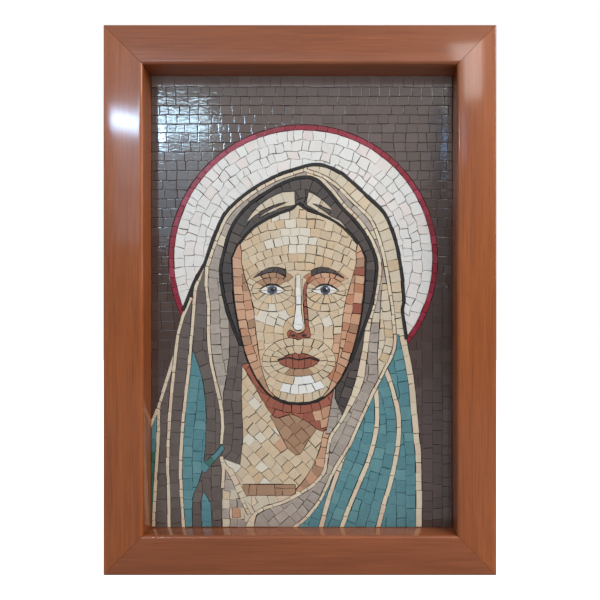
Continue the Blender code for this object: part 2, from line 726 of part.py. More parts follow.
def make_frame():
    half_width = FRAME_WIDTH / 2
    half_height = FRAME_HEIGHT / 2
    frame_member("top_rail", half_width, half_height, 0)
    frame_member("right_stile", half_height, half_width, 90)
    frame_member("bottom_rail", half_width, half_height, 180)
    frame_member("left_stile", half_height, half_width, -90)


def make_backing():
    """The board in the frame's rebate, and the bed that the tesserae sit in."""
    reach = REBATE_WIDTH - GAP
    board = box(-SIDE - reach, -TOP - reach, SIDE + reach, TOP + reach)
    make_object("backing_board", "board",
                prism("backing_board", [board], 0.0, BOARD_THICKNESS))
    bed = box(-SIDE + GAP, -TOP + GAP, SIDE - GAP, TOP - GAP)
    bed_back = BOARD_THICKNESS + GAP
    make_object("setting_bed", "mortar",
                prism("setting_bed", [bed], bed_back, bed_back + BED_THICKNESS))


def make_mosaic():
    fields = picture_fields()
    colours = {name: colour for name, colour, _ in fields}
    points, triangles, owner = lay_out(fields)
    back = BOARD_THICKNESS + BED_THICKNESS + 2 * GAP
    for name, colour in colours.items():
        loops = [tidy_loop([points[corner] for corner in loop])
                 for loop in border_loops(name, points, triangles, owner)]
        loops = [drawn_in(loop, GAP / 2) for loop in loops if len(loop) > 2]
        make_object(name, colour, prism(name, loops, back, back + TESSERA_THICKNESS))


def main():
    for item in list(bpy.data.objects):
        bpy.data.objects.remove(item, do_unlink=True)
    make_frame()
    make_backing()
    make_mosaic()


main()
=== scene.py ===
"""Looks of the framed mosaic panel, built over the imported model.

Every field of the picture is cut into its own tesserae: joints are drawn across the field's
outline, the pieces between them become flat cells, each with its own tone, and one Geometry
Nodes tree raises every cell to a small block with chipped edges and its own tilt.
Lines and sizes of the picture are in millimetres from its centre, as (x, z).
"""

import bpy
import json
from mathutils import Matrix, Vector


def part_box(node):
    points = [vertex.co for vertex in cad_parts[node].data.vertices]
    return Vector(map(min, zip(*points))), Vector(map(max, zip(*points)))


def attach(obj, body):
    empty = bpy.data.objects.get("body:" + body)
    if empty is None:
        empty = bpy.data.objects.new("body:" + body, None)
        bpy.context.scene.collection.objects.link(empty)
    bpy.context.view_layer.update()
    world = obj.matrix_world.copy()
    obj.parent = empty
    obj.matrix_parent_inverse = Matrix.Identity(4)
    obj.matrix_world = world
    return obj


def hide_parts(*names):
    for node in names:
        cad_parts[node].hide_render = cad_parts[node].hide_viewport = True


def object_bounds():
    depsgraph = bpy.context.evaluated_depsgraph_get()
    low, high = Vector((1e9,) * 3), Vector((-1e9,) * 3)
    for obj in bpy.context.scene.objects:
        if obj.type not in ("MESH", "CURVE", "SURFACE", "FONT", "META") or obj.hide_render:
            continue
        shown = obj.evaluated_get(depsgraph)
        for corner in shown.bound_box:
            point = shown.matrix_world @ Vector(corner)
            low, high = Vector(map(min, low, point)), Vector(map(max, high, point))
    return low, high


bl_info = {
    "name": "Framed Mosaic Panel",
    "version": (1, 0, 0),
    "blender": (4, 5, 0),
    "location": "View3D > Sidebar > Mosaic",
    "description": "Lays the tesserae of a framed mosaic picture and finishes its wooden frame",
    "category": "Object",
}

import json
import math
import random
import zlib
from collections import namedtuple

import bpy
import numpy as np
from bpy.props import FloatProperty, FloatVectorProperty, IntProperty, PointerProperty
from mathutils import Vector
from mathutils.geometry import delaunay_2d_cdt

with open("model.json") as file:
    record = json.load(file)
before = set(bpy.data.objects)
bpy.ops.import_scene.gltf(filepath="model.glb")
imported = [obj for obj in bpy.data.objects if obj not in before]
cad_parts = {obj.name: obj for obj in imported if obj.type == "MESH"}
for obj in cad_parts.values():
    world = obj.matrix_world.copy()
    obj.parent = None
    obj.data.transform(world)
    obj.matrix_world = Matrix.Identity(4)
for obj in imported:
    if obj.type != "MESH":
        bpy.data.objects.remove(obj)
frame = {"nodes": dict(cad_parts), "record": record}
CAD_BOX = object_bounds()
MM = 0.001

# All in millimetres: how near two corners are taken for one, how far a face may be from a field's
# front and still belong to it, how far a cross joint runs past its course, and how far the first
# one of a fold runs out to the field's real border
WELD = 0.01
FLATNESS = 0.1
SPILL = 0.3
BORDER_SPILL = 9.0

# The head's own centre line and the levels that the face is laid about
HEAD_X = -4.0
EYE_LEVEL = 14.5
EYE_ACROSS = 35.2
IRIS_RADIUS = 6.2
PUPIL_RADIUS = 2.9
GLINT_RADIUS = 1.2
NOSE_BASE = -47.3
MOUTH_LEVEL = -77.0
JAW_TOP = (HEAD_X, -38.0)
JAW_FOOT = (HEAD_X, -52.0)
JAW_CORE = 8.0
BROW_CENTRE = (HEAD_X, -62.0)
BROW_RADIUS = 92.0
BROW_COURSE = 11.5

# Corners that close the forehead's outline beyond the face, and the slant of the neck's rows
ABOVE_THE_FACE = ((120.0, 0.0), (120.0, 180.0), (-120.0, 180.0), (-120.0, 0.0))
NECK_SLANT = -47.0

# The halo's centre, the radius that its rings start from, a little under the rim, the radius that
# they stop at, and the point that the veil's bands and the hair go round
HALO_CENTRE = (2.0, 56.0)
HALO_EDGE = 174.0
HALO_CORE = 80.0
VEIL_CENTRE = (0.0, 30.0)


def screen(red, green, blue):
    """A colour given as it looks on a screen, 0 to 255, as the linear values Blender uses."""
    linear = []
    for value in (red, green, blue):
        share = value / 255
        linear.append(share / 12.92 if share <= 0.04045 else ((share + 0.055) / 1.055) ** 2.4)
    return tuple(linear)


def colour(name, description, red, green, blue):
    """A colour setting, given as it looks on a screen."""
    return FloatVectorProperty(name=name, description=description, subtype="COLOR", size=3,
                               min=0.0, max=1.0, default=screen(red, green, blue))


def length(name, description, millimetres):
    """A length setting in metres, given in millimetres."""
    return FloatProperty(name=name, description=description, subtype="DISTANCE", unit="LENGTH",
                         min=0.0, default=millimetres * MM, precision=5)


def power(name, description, watts):
    """A setting for the power of a light."""
    return FloatProperty(name=name, description=description, unit="POWER", min=0.0,
                         default=watts)


class TesseraSettings(bpy.types.PropertyGroup):
    """Sizes of the cut pieces and of the joints between them."""

    joint: length("Joint", "Open joint between two marble tesserae", 0.62)
    edge: length("Chipped edge", "Width of the chamfer round a marble tessera", 0.22)
    rim: length("Rim", "Width over which the top falls off towards the chamfer", 0.75)
    uneven: length("Unevenness", "How far a tessera may sit below its neighbours", 0.3)
    row: length("Row height", "Height of a background row", 12.4)
    brick: length("Brick length", "Length of a background tessera", 14.7)
    tile: length("Tile", "Usual side of a tessera in the figure", 12.6)
    strip: length("Strip piece", "Length of the pieces in the thin strips and lines", 12.8)
    waver: length("Waver", "How far a joint may stray from its course", 0.9)
    tilt: FloatProperty(name="Tilt", description="How far a tessera may lean out of the plane",
                        subtype="ANGLE", unit="ROTATION", min=0.0, default=math.radians(1.1))
    seed: IntProperty(name="Seed", description="Starting number of everything irregular",
                      default=7)


class StoneColours(bpy.types.PropertyGroup):
    """Each stone or glass: its usual colour, and the colour its odd pieces lean towards."""

    umber: colour("Umber glass", "Ground of the picture", 72, 55, 49)
    umber_second: colour("Umber, odd pieces", "Ground of the picture", 82, 66, 60)
    brown: colour("Brown stone", "Mantle and the hair over it", 94, 82, 76)
    brown_second: colour("Brown, odd pieces", "Mantle and the hair over it", 106, 95, 88)
    # slate is the ground's umber glass painted lighter for its first row: painted light that
    # offsets the shade the top rail casts on that row
    slate: colour("Umber glass painted lighter", "First row of the ground", 138, 122, 115)
    slate_second: colour("Umber painted lighter, odd pieces", "First row of the ground", 146, 131, 124)
    crimson: colour("Crimson glass", "Rim of the halo", 134, 10, 36)
    crimson_second: colour("Crimson, odd pieces", "Rim of the halo", 162, 46, 74)
    cream: colour("Cream marble", "Halo", 223, 221, 214)
    cream_second: colour("Cream, odd pieces", "Halo", 224, 212, 204)
    ivory: colour("Ivory marble", "Strips along the folds", 216, 200, 172)
    ivory_second: colour("Ivory, odd pieces", "Strips along the folds", 212, 186, 160)
    sand: colour("Sand limestone", "Light folds of the veil", 206, 192, 168)
    sand_second: colour("Sand, odd pieces", "Light folds of the veil", 196, 170, 132)
    taupe: colour("Taupe marble", "Veil", 160, 147, 136)
    taupe_second: colour("Taupe, odd pieces", "Veil", 178, 165, 150)
    teal: colour("Teal glass", "Mantle", 78, 128, 134)
    teal_second: colour("Teal, odd pieces", "Mantle", 94, 142, 144)
    green: colour("Green glass", "Odd tiles among the teal", 44, 100, 84)
    green_second: colour("Green, odd pieces", "Odd tiles among the teal", 44, 104, 92)
    black: colour("Black slate", "Contour lines", 24, 19, 16)
    black_second: colour("Black, odd pieces", "Contour lines", 38, 31, 27)
    charcoal: colour("Charcoal slate", "Hair and brows", 66, 58, 55)
    charcoal_second: colour("Charcoal, odd pieces", "Hair and brows", 86, 74, 67)
    skin: colour("Skin limestone", "Face and neck", 207, 187, 158)
    skin_second: colour("Skin, odd pieces", "Face and neck", 206, 176, 138)
    pale: colour("Pale limestone", "Lights of the face and neck", 217, 207, 189)
    pale_second: colour("Pale, odd pieces", "Lights of the face and neck", 218, 206, 184)
    peach: colour("Peach marble", "Sides of the face and neck", 201, 158, 126)
    peach_second: colour("Peach, odd pieces", "Sides of the face and neck", 178, 118, 84)
    tan: colour("Tan marble", "Throat and neckband", 168, 131, 101)
    tan_second: colour("Tan, odd pieces", "Throat and neckband", 156, 116, 88)
    terracotta: colour("Terracotta", "Lips, nose and neck shadow", 156, 88, 66)
    terracotta_second: colour("Terracotta, odd pieces", "Lips and shadow", 138, 74, 54)
    white: colour("White marble", "Lights of the face", 228, 226, 220)
    white_second: colour("White, odd pieces", "Lights of the face", 226, 214, 192)
    iris: colour("Iris slate", "Irises", 92, 98, 110)
    iris_second: colour("Iris, odd pieces", "Irises", 70, 74, 84)


class FrameSettings(bpy.types.PropertyGroup):
    """The wooden moulding and the layers behind the picture."""

    outer_round: length("Outer rounding", "Radius of the moulding's outer edge", 2.0)
    lip_round: length("Lip rounding", "Radius of the moulding's inner edge", 4.0)
    mitre_gap: length("Mitre gap", "Open line between two members", 0.06)
    clearance: length("Clearance", "Space kept round the board in its rebate", 0.3)
    arris: length("Arris", "Easing of the edges along each mitre", 0.3)
    light_wood: colour("Light wood", "Early wood under the lacquer", 170, 92, 42)
    # The rails are the same wood as the stiles; this darker copy of its light colour is painted
    # shade, for how the light falls on the rails' crosswise grain
    rail_wood: colour("Wood of the rails, painted darker as shade", "Early wood of the top and bottom in painted shade", 158, 88, 50)
    dark_wood: colour("Dark wood", "Late wood and pores", 98, 46, 20)
    mortar: colour("Setting bed", "Adhesive that shows in the joints", 20, 17, 15)
    board: colour("Board", "Pressed board behind the picture", 150, 116, 82)


class StageSettings(bpy.types.PropertyGroup):
    """Camera and lights."""

    distance: length("Distance", "From the wall plane to the camera", 735.0)
    side: length("Side", "How far the camera stands to the right of the centre", 50.0)
    drop: length("Drop", "How far the camera is under the centre", 45.0)
    lens: FloatProperty(name="Lens", description="Focal length in millimetres", unit="CAMERA",
                        default=32.6)
    shift_x: FloatProperty(name="Shift X", default=-0.0655,
                           description="How far the image is moved right, in image widths")
    shift_y: FloatProperty(name="Shift Y", default=0.059,
                           description="How far the image is moved up, in image widths")
    key: power("Key light", "Power of the soft light from above", 18.0)
    fill: power("Fill light", "Power of the broad light behind the camera", 4.35)
    side_light: power("Side light", "Power of the light along the picture", 6.0)
    sheen: power("Sheen", "Power of the light on the right stile", 3.6)
    glint: power("Glints", "Power that the blue lights are shares of", 10.0)
    sky: FloatProperty(name="Sky", description="Strength of the soft light from above",
                       default=0.74)
    ground: FloatProperty(name="Ground", description="Strength of the soft light from below",
                          default=0.2)


class MosaicPanel(bpy.types.PropertyGroup):
    """Everything that a user may change."""

    tesserae: PointerProperty(type=TesseraSettings)
    stones: PointerProperty(type=StoneColours)
    frame: PointerProperty(type=FrameSettings)
    stage: PointerProperty(type=StageSettings)


def unit(vector):
    """The vector at a length of one."""
    return vector / max(math.hypot(*vector), 1e-9)


def left_of(direction):
    """The direction a quarter turn anticlockwise from another."""
    return np.array((-direction[1], direction[0]))


def arc(centre, radius_x, radius_z, start, end, steps):
    """Points of an ellipse between two angles in degrees, counted from +X towards +Z."""
    angles = np.radians(np.linspace(start, end, steps + 1))
    return [np.array((centre[0] + radius_x * math.cos(a), centre[1] + radius_z * math.sin(a)))
            for a in angles]


def beside(line, distance):
    """The same line moved to its left by a distance."""
    moved = []
    for index, point in enumerate(line):
        ahead = unit(line[min(index + 1, len(line) - 1)] - line[max(index - 1, 0)])
        moved.append(point + distance * left_of(ahead))
    return moved


def lengthened(line, extra):
    """The line run on straight at both ends."""
    start = line[0] + extra * unit(line[0] - line[1])
    end = line[-1] + extra * unit(line[-1] - line[-2])
    return [start] + list(line) + [end]


def signed_area(loop):
    """Area of a closed loop, negative where it runs clockwise."""
    x, z = np.array(loop).T
    return float(np.sum(x * np.roll(z, -1) - np.roll(x, -1) * z)) / 2


def inside(outline, points):
    """Which of the points lie inside the closed outline, by winding number."""
    winding = np.zeros(len(points), int)
    x, z = points[:, 0], points[:, 1]
    for start, end in zip(outline, list(outline[1:]) + [outline[0]]):
        side = (end[0] - start[0]) * (z - start[1]) - (x - start[0]) * (end[1] - start[1])
        winding += (start[1] <= z) & (end[1] > z) & (side > 0)
        winding -= (start[1] > z) & (end[1] <= z) & (side < 0)
    return winding != 0


def trace(directed):
    """Closed loops from directed border sides, given as pairs of corner numbers."""
    following = {}
    for start, end in directed:
        following.setdefault(start, []).append(end)
    loops = []
    while following:
        start = min(following)
        loop = []
        current = start
        while True:
            loop.append(current)
            choices = following[current]
            current = choices.pop()
            if not choices:
                del following[loop[-1]]
            if current == start:
                break
        loops.append(loop)
    return loops


def field_loops(name):
    """Outlines of a CAD field's front face, outer ones anticlockwise and holes clockwise."""
    mesh = frame["nodes"][name].data
    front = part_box(name)[0].y
    numbers = {}
    corners = []
    sides = set()
    for polygon in mesh.polygons:
        places = [mesh.vertices[index].co for index in polygon.vertices]
        if max(place.y for place in places) > front + FLATNESS * MM:
            continue
        ring = []
        for place in places:
            key = (round(place.x / MM, 3), round(place.z / MM, 3))
            if key not in numbers:
                numbers[key] = len(corners)
                corners.append(np.array(key))
            ring.append(numbers[key])
        sides.update((ring[i - 1], ring[i]) for i in range(len(ring)))
    border = [side for side in sorted(sides) if side[::-1] not in sides]
    return [[corners[index] for index in loop] for loop in trace(border)]


def extent(loops):
    """The lowest and the highest corner of the box round some loops."""
    points = np.vstack([np.array(loop) for loop in loops])
    return points.min(axis=0), points.max(axis=0)


def rows(loops, chance, height, step, angle=0.0, stray=0.25):
    """Straight courses across the field at an angle, each with its own cross joints."""
    low, high = extent(loops)
    centre = (low + high) / 2
    reach = math.hypot(*(high - low)) / 2 + step
    along = np.array((math.cos(math.radians(angle)), math.sin(math.radians(angle))))
    up = left_of(along)
    cuts = []
    level = -reach - chance.uniform(0, height)
    while level < reach:
        thickness = height * chance.uniform(0.95, 1.05)
        base = centre + level * up
        cuts.append([base - reach * along, base + reach * along])
        at = -reach + chance.uniform(0, step)
        while at < reach:
            lean = chance.uniform(-0.04, 0.04) * step
            cuts.append([base + at * along - SPILL * up,
                         base + (at + lean) * along + (thickness + SPILL) * up])
            at += step * chance.uniform(1 - stray, 1 + stray)
        level += thickness
    return cuts


def capsule(top, bottom, radius, steps=20):
    """A line round the upright spine between two points, at an even distance, left open."""
    return (arc(top, radius, radius, 0, 180, steps)
            + arc(bottom, radius, radius, 180, 360, steps))


def along_line(line, at):
    """The point at a distance along a line, and the line's direction there."""
    for start, end in zip(line, line[1:]):
        span = math.hypot(*(end - start))
        if at <= span and span > 0:
            return start + (end - start) * at / span, unit(end - start)
        at -= span
    return line[-1], unit(line[-1] - line[-2])


def line_length(line):
    """The length of a line of straight parts."""
    return sum(math.hypot(*(end - start)) for start, end in zip(line, line[1:]))


def crossings(line, width, step, chance, stray=0.2, before=SPILL):
    """Cross joints over a course beside a line, on its left where the width is positive."""
    side = math.copysign(1.0, width)
    cuts = []
    at = chance.uniform(0.2, 1.0) * step
    total = line_length(line)
    while at < total:
        point, ahead = along_line(line, at)
        lean = chance.uniform(-0.06, 0.06) * width
        cuts.append([point - side * before * left_of(ahead),
                     point + (width + side * SPILL) * left_of(ahead) + lean * ahead])
        at += step * chance.uniform(1 - stray, 1 + stray)
    return cuts


def rings(chance, top, bottom, radii, step, stray=0.2):
    """Closed courses about a spine. A circle's spine has the same top and bottom."""
    cuts = []
    for inner, outer in zip(radii, radii[1:]):
        line = capsule(top, bottom, outer)
        line = line + line[:1]
        cuts.append(line)
        cuts += crossings(line, outer - inner, step, chance, stray)
    return cuts


def courses(guide, width, count, step, chance):
    """Courses beside a guide line, on its left where the width is positive.

    The first one's cross joints also run outwards, to the real border of the field.
    """
    guide = lengthened(guide, 30.0)
    cuts = []
    for number in range(count):
        line = beside(guide, number * width)
        cuts += crossings(line, width, step, chance, before=SPILL if number else BORDER_SPILL)
        if number:
            cuts.append(line)
    return cuts


def eased(line, times=3):
    """The line with its small kinks averaged out."""
    line = list(line)
    for _ in range(times):
        middle = [(before + 2 * point + after) / 4
                  for before, point, after in zip(line, line[1:], line[2:])]
        line = [line[0]] + middle + [line[-1]]
    return line


def hits(loops, origin, direction):
    """Distances from an origin, along a direction, to the outlines."""
    distances = []
    for loop in loops:
        starts = np.array(loop) - origin
        ends = np.roll(starts, -1, axis=0)
        spans = ends - starts
        facing = direction[0] * spans[:, 1] - direction[1] * spans[:, 0]
        with np.errstate(divide="ignore", invalid="ignore"):
            share = (starts[:, 1] * direction[0] - starts[:, 0] * direction[1]) / -facing
            reach = (starts[:, 0] * spans[:, 1] - starts[:, 1] * spans[:, 0]) / facing
        ok = (np.abs(facing) > 1e-9) & (share >= 0) & (share <= 1) & (reach > 0)
        distances += list(reach[ok])
    return distances


def side_edge(loops, side, pitch=5.0):
    """The left or right edge of an upright field, from its top down."""
    low, high = extent(loops)
    far = high[0] - low[0] + 20.0
    line = []
    for z in np.arange(high[1] - 1.0, low[1] + 1.0, -pitch):
        if side == "left":
            origin, direction = np.array((low[0] - far, z)), np.array((1.0, 0.0))
        else:
            origin, direction = np.array((high[0] + far, z)), np.array((-1.0, 0.0))
        found = hits(loops, origin, direction)
        if found:
            line.append(origin + min(found) * direction)
    return eased(line)


def round_edge(loops, centre, start, end, pitch=3.0):
    """The outer edge of a curved field, clockwise about a centre."""
    centre = np.array(centre)
    line = []
    for angle in np.arange(start, end, -pitch):
        direction = np.array((math.cos(math.radians(angle)), math.sin(math.radians(angle))))
        found = hits(loops, centre, direction)
        if found:
            line.append(centre + max(found) * direction)
    return eased(line)


def ribbon_joints(loops, chance, step, reach, slant=0.0, apart=0.72, pitch=1.5):
    """Cross joints over a narrow ribbon, started from its own outline.

    A joint whose middle comes nearer to another's than a share of the step is left out, and the
    next one is tried a little further on. So each joint is cut from one side only.
    """
    cuts = []
    middles = []
    for loop in loops:
        line = list(loop) + [loop[0]]
        at = chance.uniform(0.3, 0.9) * step
        total = line_length(line)
        while at < total:
            point, ahead = along_line(line, at)
            inward = unit(left_of(ahead) + slant * ahead)
            middle = point + 0.5 * reach * inward
            if all(math.hypot(*(middle - other)) > apart * step for other in middles):
                cuts.append([point - 0.4 * inward, point + 1.5 * reach * inward])
                middles.append(middle)
                at += step * chance.uniform(0.85, 1.15)
            else:
                at += pitch
    return cuts


# One way of laying part of a field: where it applies, its joints, the smallest piece worth
# cutting, and the stone it is cut from if that isn't the field's own. Every function in STYLES
# takes a field's outlines, the source of chance and the settings, and returns the field's layers.
# The first layer is the whole field
Layer = namedtuple("Layer", "outline cuts smallest stone", defaults=(None,))


def draw_layers(loops, layers):
    """All the outlines and joints as points and sides, and the layer that each side cuts."""
    corners, sides, cut_by = [], [], []
    lines = [(list(loop) + [loop[0]], None) for loop in loops]
    for number, layer in enumerate(layers):
        if layer.outline is not None:
            lines.append((list(layer.outline) + [layer.outline[0]], None))
        lines += [(cut, number) for cut in layer.cuts]
    for line, number in lines:
        first = len(corners)
        corners += [Vector(point) for point in line]
        sides += [(first + i, first + i + 1) for i in range(len(line) - 1)]
        cut_by += [number] * (len(line) - 1)
    return corners, sides, cut_by


def regions_of(centres, loops, layers):
    """The number of the layer that each triangle belongs to, or -1 outside the field."""
    region = np.full(len(centres), -1)
    within = sum(inside(loop, centres).astype(int) * (1 if signed_area(loop) > 0 else -1)
                 for loop in loops) > 0
    region[within] = 0
    for number, layer in enumerate(layers[1:], 1):
        region[within & inside(layer.outline, centres)] = number
    return region


def find(parent, item):
    """The triangle that stands for the whole piece an item belongs to."""
    while parent[item] != item:
        parent[item] = parent[parent[item]]
        item = parent[item]
    return item


def merge_small(areas, touching, region, layers, parent):
    """Give every piece too small to cut to the neighbour it shares the longest side with."""
    waiting = sorted(areas, key=areas.get)
    while waiting:
        small = waiting.pop(0)
        if small not in areas or areas[small] >= layers[region[small]].smallest:
            continue
        near = {other: shared for other, shared in touching[small].items() if other in areas}
        if not near:
            continue
        taker = max(sorted(near), key=near.get)
        parent[small] = taker
        areas[taker] += areas.pop(small)
        for other, shared in near.items():
            del touching[other][small]
            if other != taker:
                touching[taker][other] = touching[taker].get(other, 0) + shared
                touching[other][taker] = touching[other].get(taker, 0) + shared
        waiting.append(taker)
        waiting.sort(key=lambda item: areas.get(item, 0))


def join_triangles(triangles, region, joints):
    """Join the triangles that no joint parts. Returns the joins and what meets at each side."""
    parent = list(range(len(triangles)))
    meeting = {}
    for index, triangle in enumerate(triangles):
        if region[index] >= 0:
            for i in range(3):
                meeting.setdefault(frozenset((triangle[i - 1], triangle[i])), []).append(index)
    for side, pair in meeting.items():
        if len(pair) == 2 and region[pair[0]] == region[pair[1]]:
            if region[pair[0]] not in joints.get(side, ()):
                parent[find(parent, pair[0])] = find(parent, pair[1])
    return parent, meeting


def measure_pieces(points, triangles, region, parent, meeting):
    """Each piece's area, and how much of its border it shares with each neighbour."""
    areas, touching = {}, {}
    for index, triangle in enumerate(triangles):
        if region[index] >= 0:
            root = find(parent, index)
            areas[root] = areas.get(root, 0) + abs(signed_area(points[list(triangle)]))
            touching.setdefault(root, {})
    for side, pair in meeting.items():
        if len(pair) == 2:
            first, second = (find(parent, index) for index in pair)
            if first != second and region[first] == region[second]:
                start, end = side
                shared = math.hypot(*(points[start] - points[end]))
                touching[first][second] = touching[first].get(second, 0) + shared
                touching[second][first] = touching[second].get(first, 0) + shared
    return areas, touching


def piece_borders(triangles, region, parent, meeting):
    """The sides round each piece, as directed pairs of corner numbers."""
    borders = {}
    for index, triangle in enumerate(triangles):
        if region[index] >= 0:
            root = find(parent, index)
            for i in range(3):
                start, end = triangle[i - 1], triangle[i]
                owners = [find(parent, other) for other in meeting[frozenset((start, end))]]
                if owners.count(root) == 1:
                    borders.setdefault(root, []).append((start, end))
    return borders


def cut_cells(loops, layers):
    """Cut the field along its joints. Returns (layer number, outline) for each piece."""
    corners, sides, cut_by = draw_layers(loops, layers)
    points, edges, triangles, _, origins, _ = delaunay_2d_cdt(corners, sides, [], 0, WELD, True)
    points = np.array([tuple(point) for point in points])
    joints = {}
    for edge, sources in zip(edges, origins):
        joints[frozenset(edge)] = {cut_by[source] for source in sources}
    corners_of = np.array([list(triangle) for triangle in triangles])
    region = regions_of(points[corners_of].mean(axis=1), loops, layers)
    parent, meeting = join_triangles(triangles, region, joints)
    areas, touching = measure_pieces(points, triangles, region, parent, meeting)
    merge_small(areas, touching, region, layers, parent)
    cells = []
    for root, border in sorted(piece_borders(triangles, region, parent, meeting).items()):
        rounds = [[points[i] for i in loop] for loop in trace(border)]
        cells.append((int(region[root]), one_outline(rounds)))
    return cells


def one_outline(loops, smallest_hole=0.5):
    """The outer loop of a piece, with any hole joined to it by a single slit."""
    loops = sorted(loops, key=lambda loop: -abs(signed_area(loop)))
    outline = loops[0]
    for hole in loops[1:]:
        if abs(signed_area(hole)) < smallest_hole:
            continue
        pairs = [(math.hypot(*(a - b)), i, j)
                 for i, a in enumerate(outline) for j, b in enumerate(hole)]
        _, i, j = min(pairs)
        outline = outline[:i + 1] + hole[j:] + hole[:j + 1] + outline[i:]
    return outline


def tidied(loop, tolerance=0.12):
    """The loop without corners that lie on the straight line between their neighbours."""
    kept = list(loop)
    changed = True
    while changed and len(kept) > 3:
        changed = False
        for index in range(len(kept)):
            before, point, after = kept[index - 1], kept[index], kept[(index + 1) % len(kept)]
            chord = after - before
            away = chord[0] * (point[1] - before[1]) - chord[1] * (point[0] - before[0])
            if abs(away) / max(math.hypot(*chord), 1e-6) < tolerance:
                del kept[index]
                changed = True
                break
    return kept


def drawn_in(loop, distance):
    """The loop shrunk by a distance."""
    moved = []
    for index, point in enumerate(loop):
        before = unit(point - loop[index - 1])
        after = unit(loop[(index + 1) % len(loop)] - point)
        normal = left_of(before) + left_of(after)
        moved.append(point + distance / max(1 + float(before @ after), 0.35) * normal)
    return moved


# How far a piece that would cross itself is drawn in all round, and the smallest area worth laying
LEAST_SETBACK = 0.1
SMALLEST_PIECE = 1.0
# The least share of half a joint that a side is set back, how much more it may be, and how
# nearly in line two sides are before their corner is simply moved
LEAST_BACK = 0.1
MORE_BACK = 2.7
IN_LINE = 0.94


def hand_cut(loop, distance, chance):
    """The loop with each side set back by its own share of a distance.

    Most joints nearly close, and some open into a dark wedge.
    """
    backs = [distance * (LEAST_BACK + MORE_BACK * chance.random() ** 2) for _ in loop]
    moved = []
    for index, point in enumerate(loop):
        first = left_of(unit(point - loop[index - 1]))
        second = left_of(unit(loop[(index + 1) % len(loop)] - point))
        turn = float(first @ second)
        back, ahead = backs[index - 1], backs[index]
        if abs(turn) > IN_LINE:
            moved.append(point + (back + ahead) / 2 * unit(first + second + 1e-6))
        else:
            moved.append(point + ((back - turn * ahead) * first
                                  + (ahead - turn * back) * second) / (1 - turn * turn))
    return moved


def crosses_itself(loop):
    """Whether any two sides of the loop cross."""
    sides = list(zip(loop, loop[1:] + loop[:1]))
    for i, (a, b) in enumerate(sides):
        for c, d in sides[i + 2:len(sides) - (i == 0)]:
            if (signed_area((a, b, c)) * signed_area((a, b, d)) < 0
                    and signed_area((c, d, a)) * signed_area((c, d, b)) < 0):
                return True
    return False


def wavering(layers, chance, amount, pitch=3.0):
    """The same layers with their joints bent a little, as a hand would lay them."""
    starts = [chance.uniform(0, math.tau) for _ in range(4)]

    def bent(line):
        points = []
        for start, end in zip(line, line[1:]):
            steps = max(1, math.ceil(math.hypot(*(end - start)) / pitch))
            points += [start + (end - start) * step / steps for step in range(steps)]
        x, z = np.array(points + [line[-1]]).T
        along = np.sin(0.16 * x + 0.05 * z + starts[0]) + np.sin(0.07 * x - 0.31 * z + starts[1])
        up = np.sin(0.05 * x + 0.17 * z + starts[2]) + np.sin(0.29 * x + 0.06 * z + starts[3])
        return list(np.array((x + amount / 2 * along, z + amount / 2 * up)).T)
    return [layer._replace(cuts=[bent(cut) for cut in layer.cuts]) for layer in layers]


def interface(tree, in_out, name, kind, default=None):
    """A named input or output of a node group."""
    socket = tree.interface.new_socket(name, in_out=in_out, socket_type=kind)
    if default is not None:
        socket.default_value = default


def node(tree, kind, inputs=None, **settings):
    """A new node with its settings, its inputs given as values or as sockets to link."""
    made = tree.nodes.new(kind)
    for key, value in settings.items():
        setattr(made, key, value)
    for key, value in (inputs or {}).items():
        if isinstance(value, bpy.types.NodeSocket):
            tree.links.new(value, made.inputs[key])
        else:
            made.inputs[key].default_value = value
    return made


def maths(tree, operation, first, second=0.0, third=0.0, clamp=False):
    """The result of a Math node, whose values are numbers or sockets."""
    made = node(tree, "ShaderNodeMath", {0: first, 1: second, 2: third}, operation=operation)
    made.use_clamp = clamp
    return made.outputs[0]


# Slopes of the steps in which a tessera's top falls off, from its chamfer inwards
RIM_SLOPES = (0.14, 0.085, 0.035)
# The most of a small tessera's side that its chamfer and its rim may take
EDGE_SHARE = 0.05
RIM_SHARE = 0.14
# How near two corners of a raised tessera are welded, in metres
JOIN = 0.000002


def stepped_blocks(tree, given, cells):
    """Extrude each cell on its own and step its top in: the chamfer first, then the rim."""
    side = maths(tree, "SQRT", node(tree, "GeometryNodeInputMeshFaceArea").outputs[0])
    edge = maths(tree, "MINIMUM", given["Edge"], maths(tree, "MULTIPLY", side, EDGE_SHARE))
    rim = maths(tree, "MINIMUM", given["Rim"], maths(tree, "MULTIPLY", side, RIM_SHARE))
    step = maths(tree, "DIVIDE", rim, len(RIM_SLOPES))
    rise = maths(tree, "MULTIPLY_ADD", step, sum(RIM_SLOPES), edge)
    body = node(tree, "GeometryNodeExtrudeMesh",
                {"Mesh": cells, "Individual": True,
                 "Offset Scale": maths(tree, "SUBTRACT", given["Thickness"], rise)}, mode="FACES")
    shape, top = body.outputs["Mesh"], body.outputs["Top"]
    for width, slope in [(edge, 1.0)] + [(step, slope) for slope in RIM_SLOPES]:
        raised = node(tree, "GeometryNodeExtrudeMesh",
                      {"Mesh": shape, "Selection": top, "Individual": True,
                       "Offset Scale": maths(tree, "MULTIPLY", width, slope)}, mode="FACES")
        inset = maths(tree, "DIVIDE", maths(tree, "MULTIPLY", width, 2.0), side)
        top = raised.outputs["Top"]
        shape = node(tree, "GeometryNodeScaleElements",
                     {"Geometry": raised.outputs["Mesh"], "Selection": top,
                      "Scale": maths(tree, "SUBTRACT", 1.0, inset)}, domain="FACE").outputs[0]
    return shape


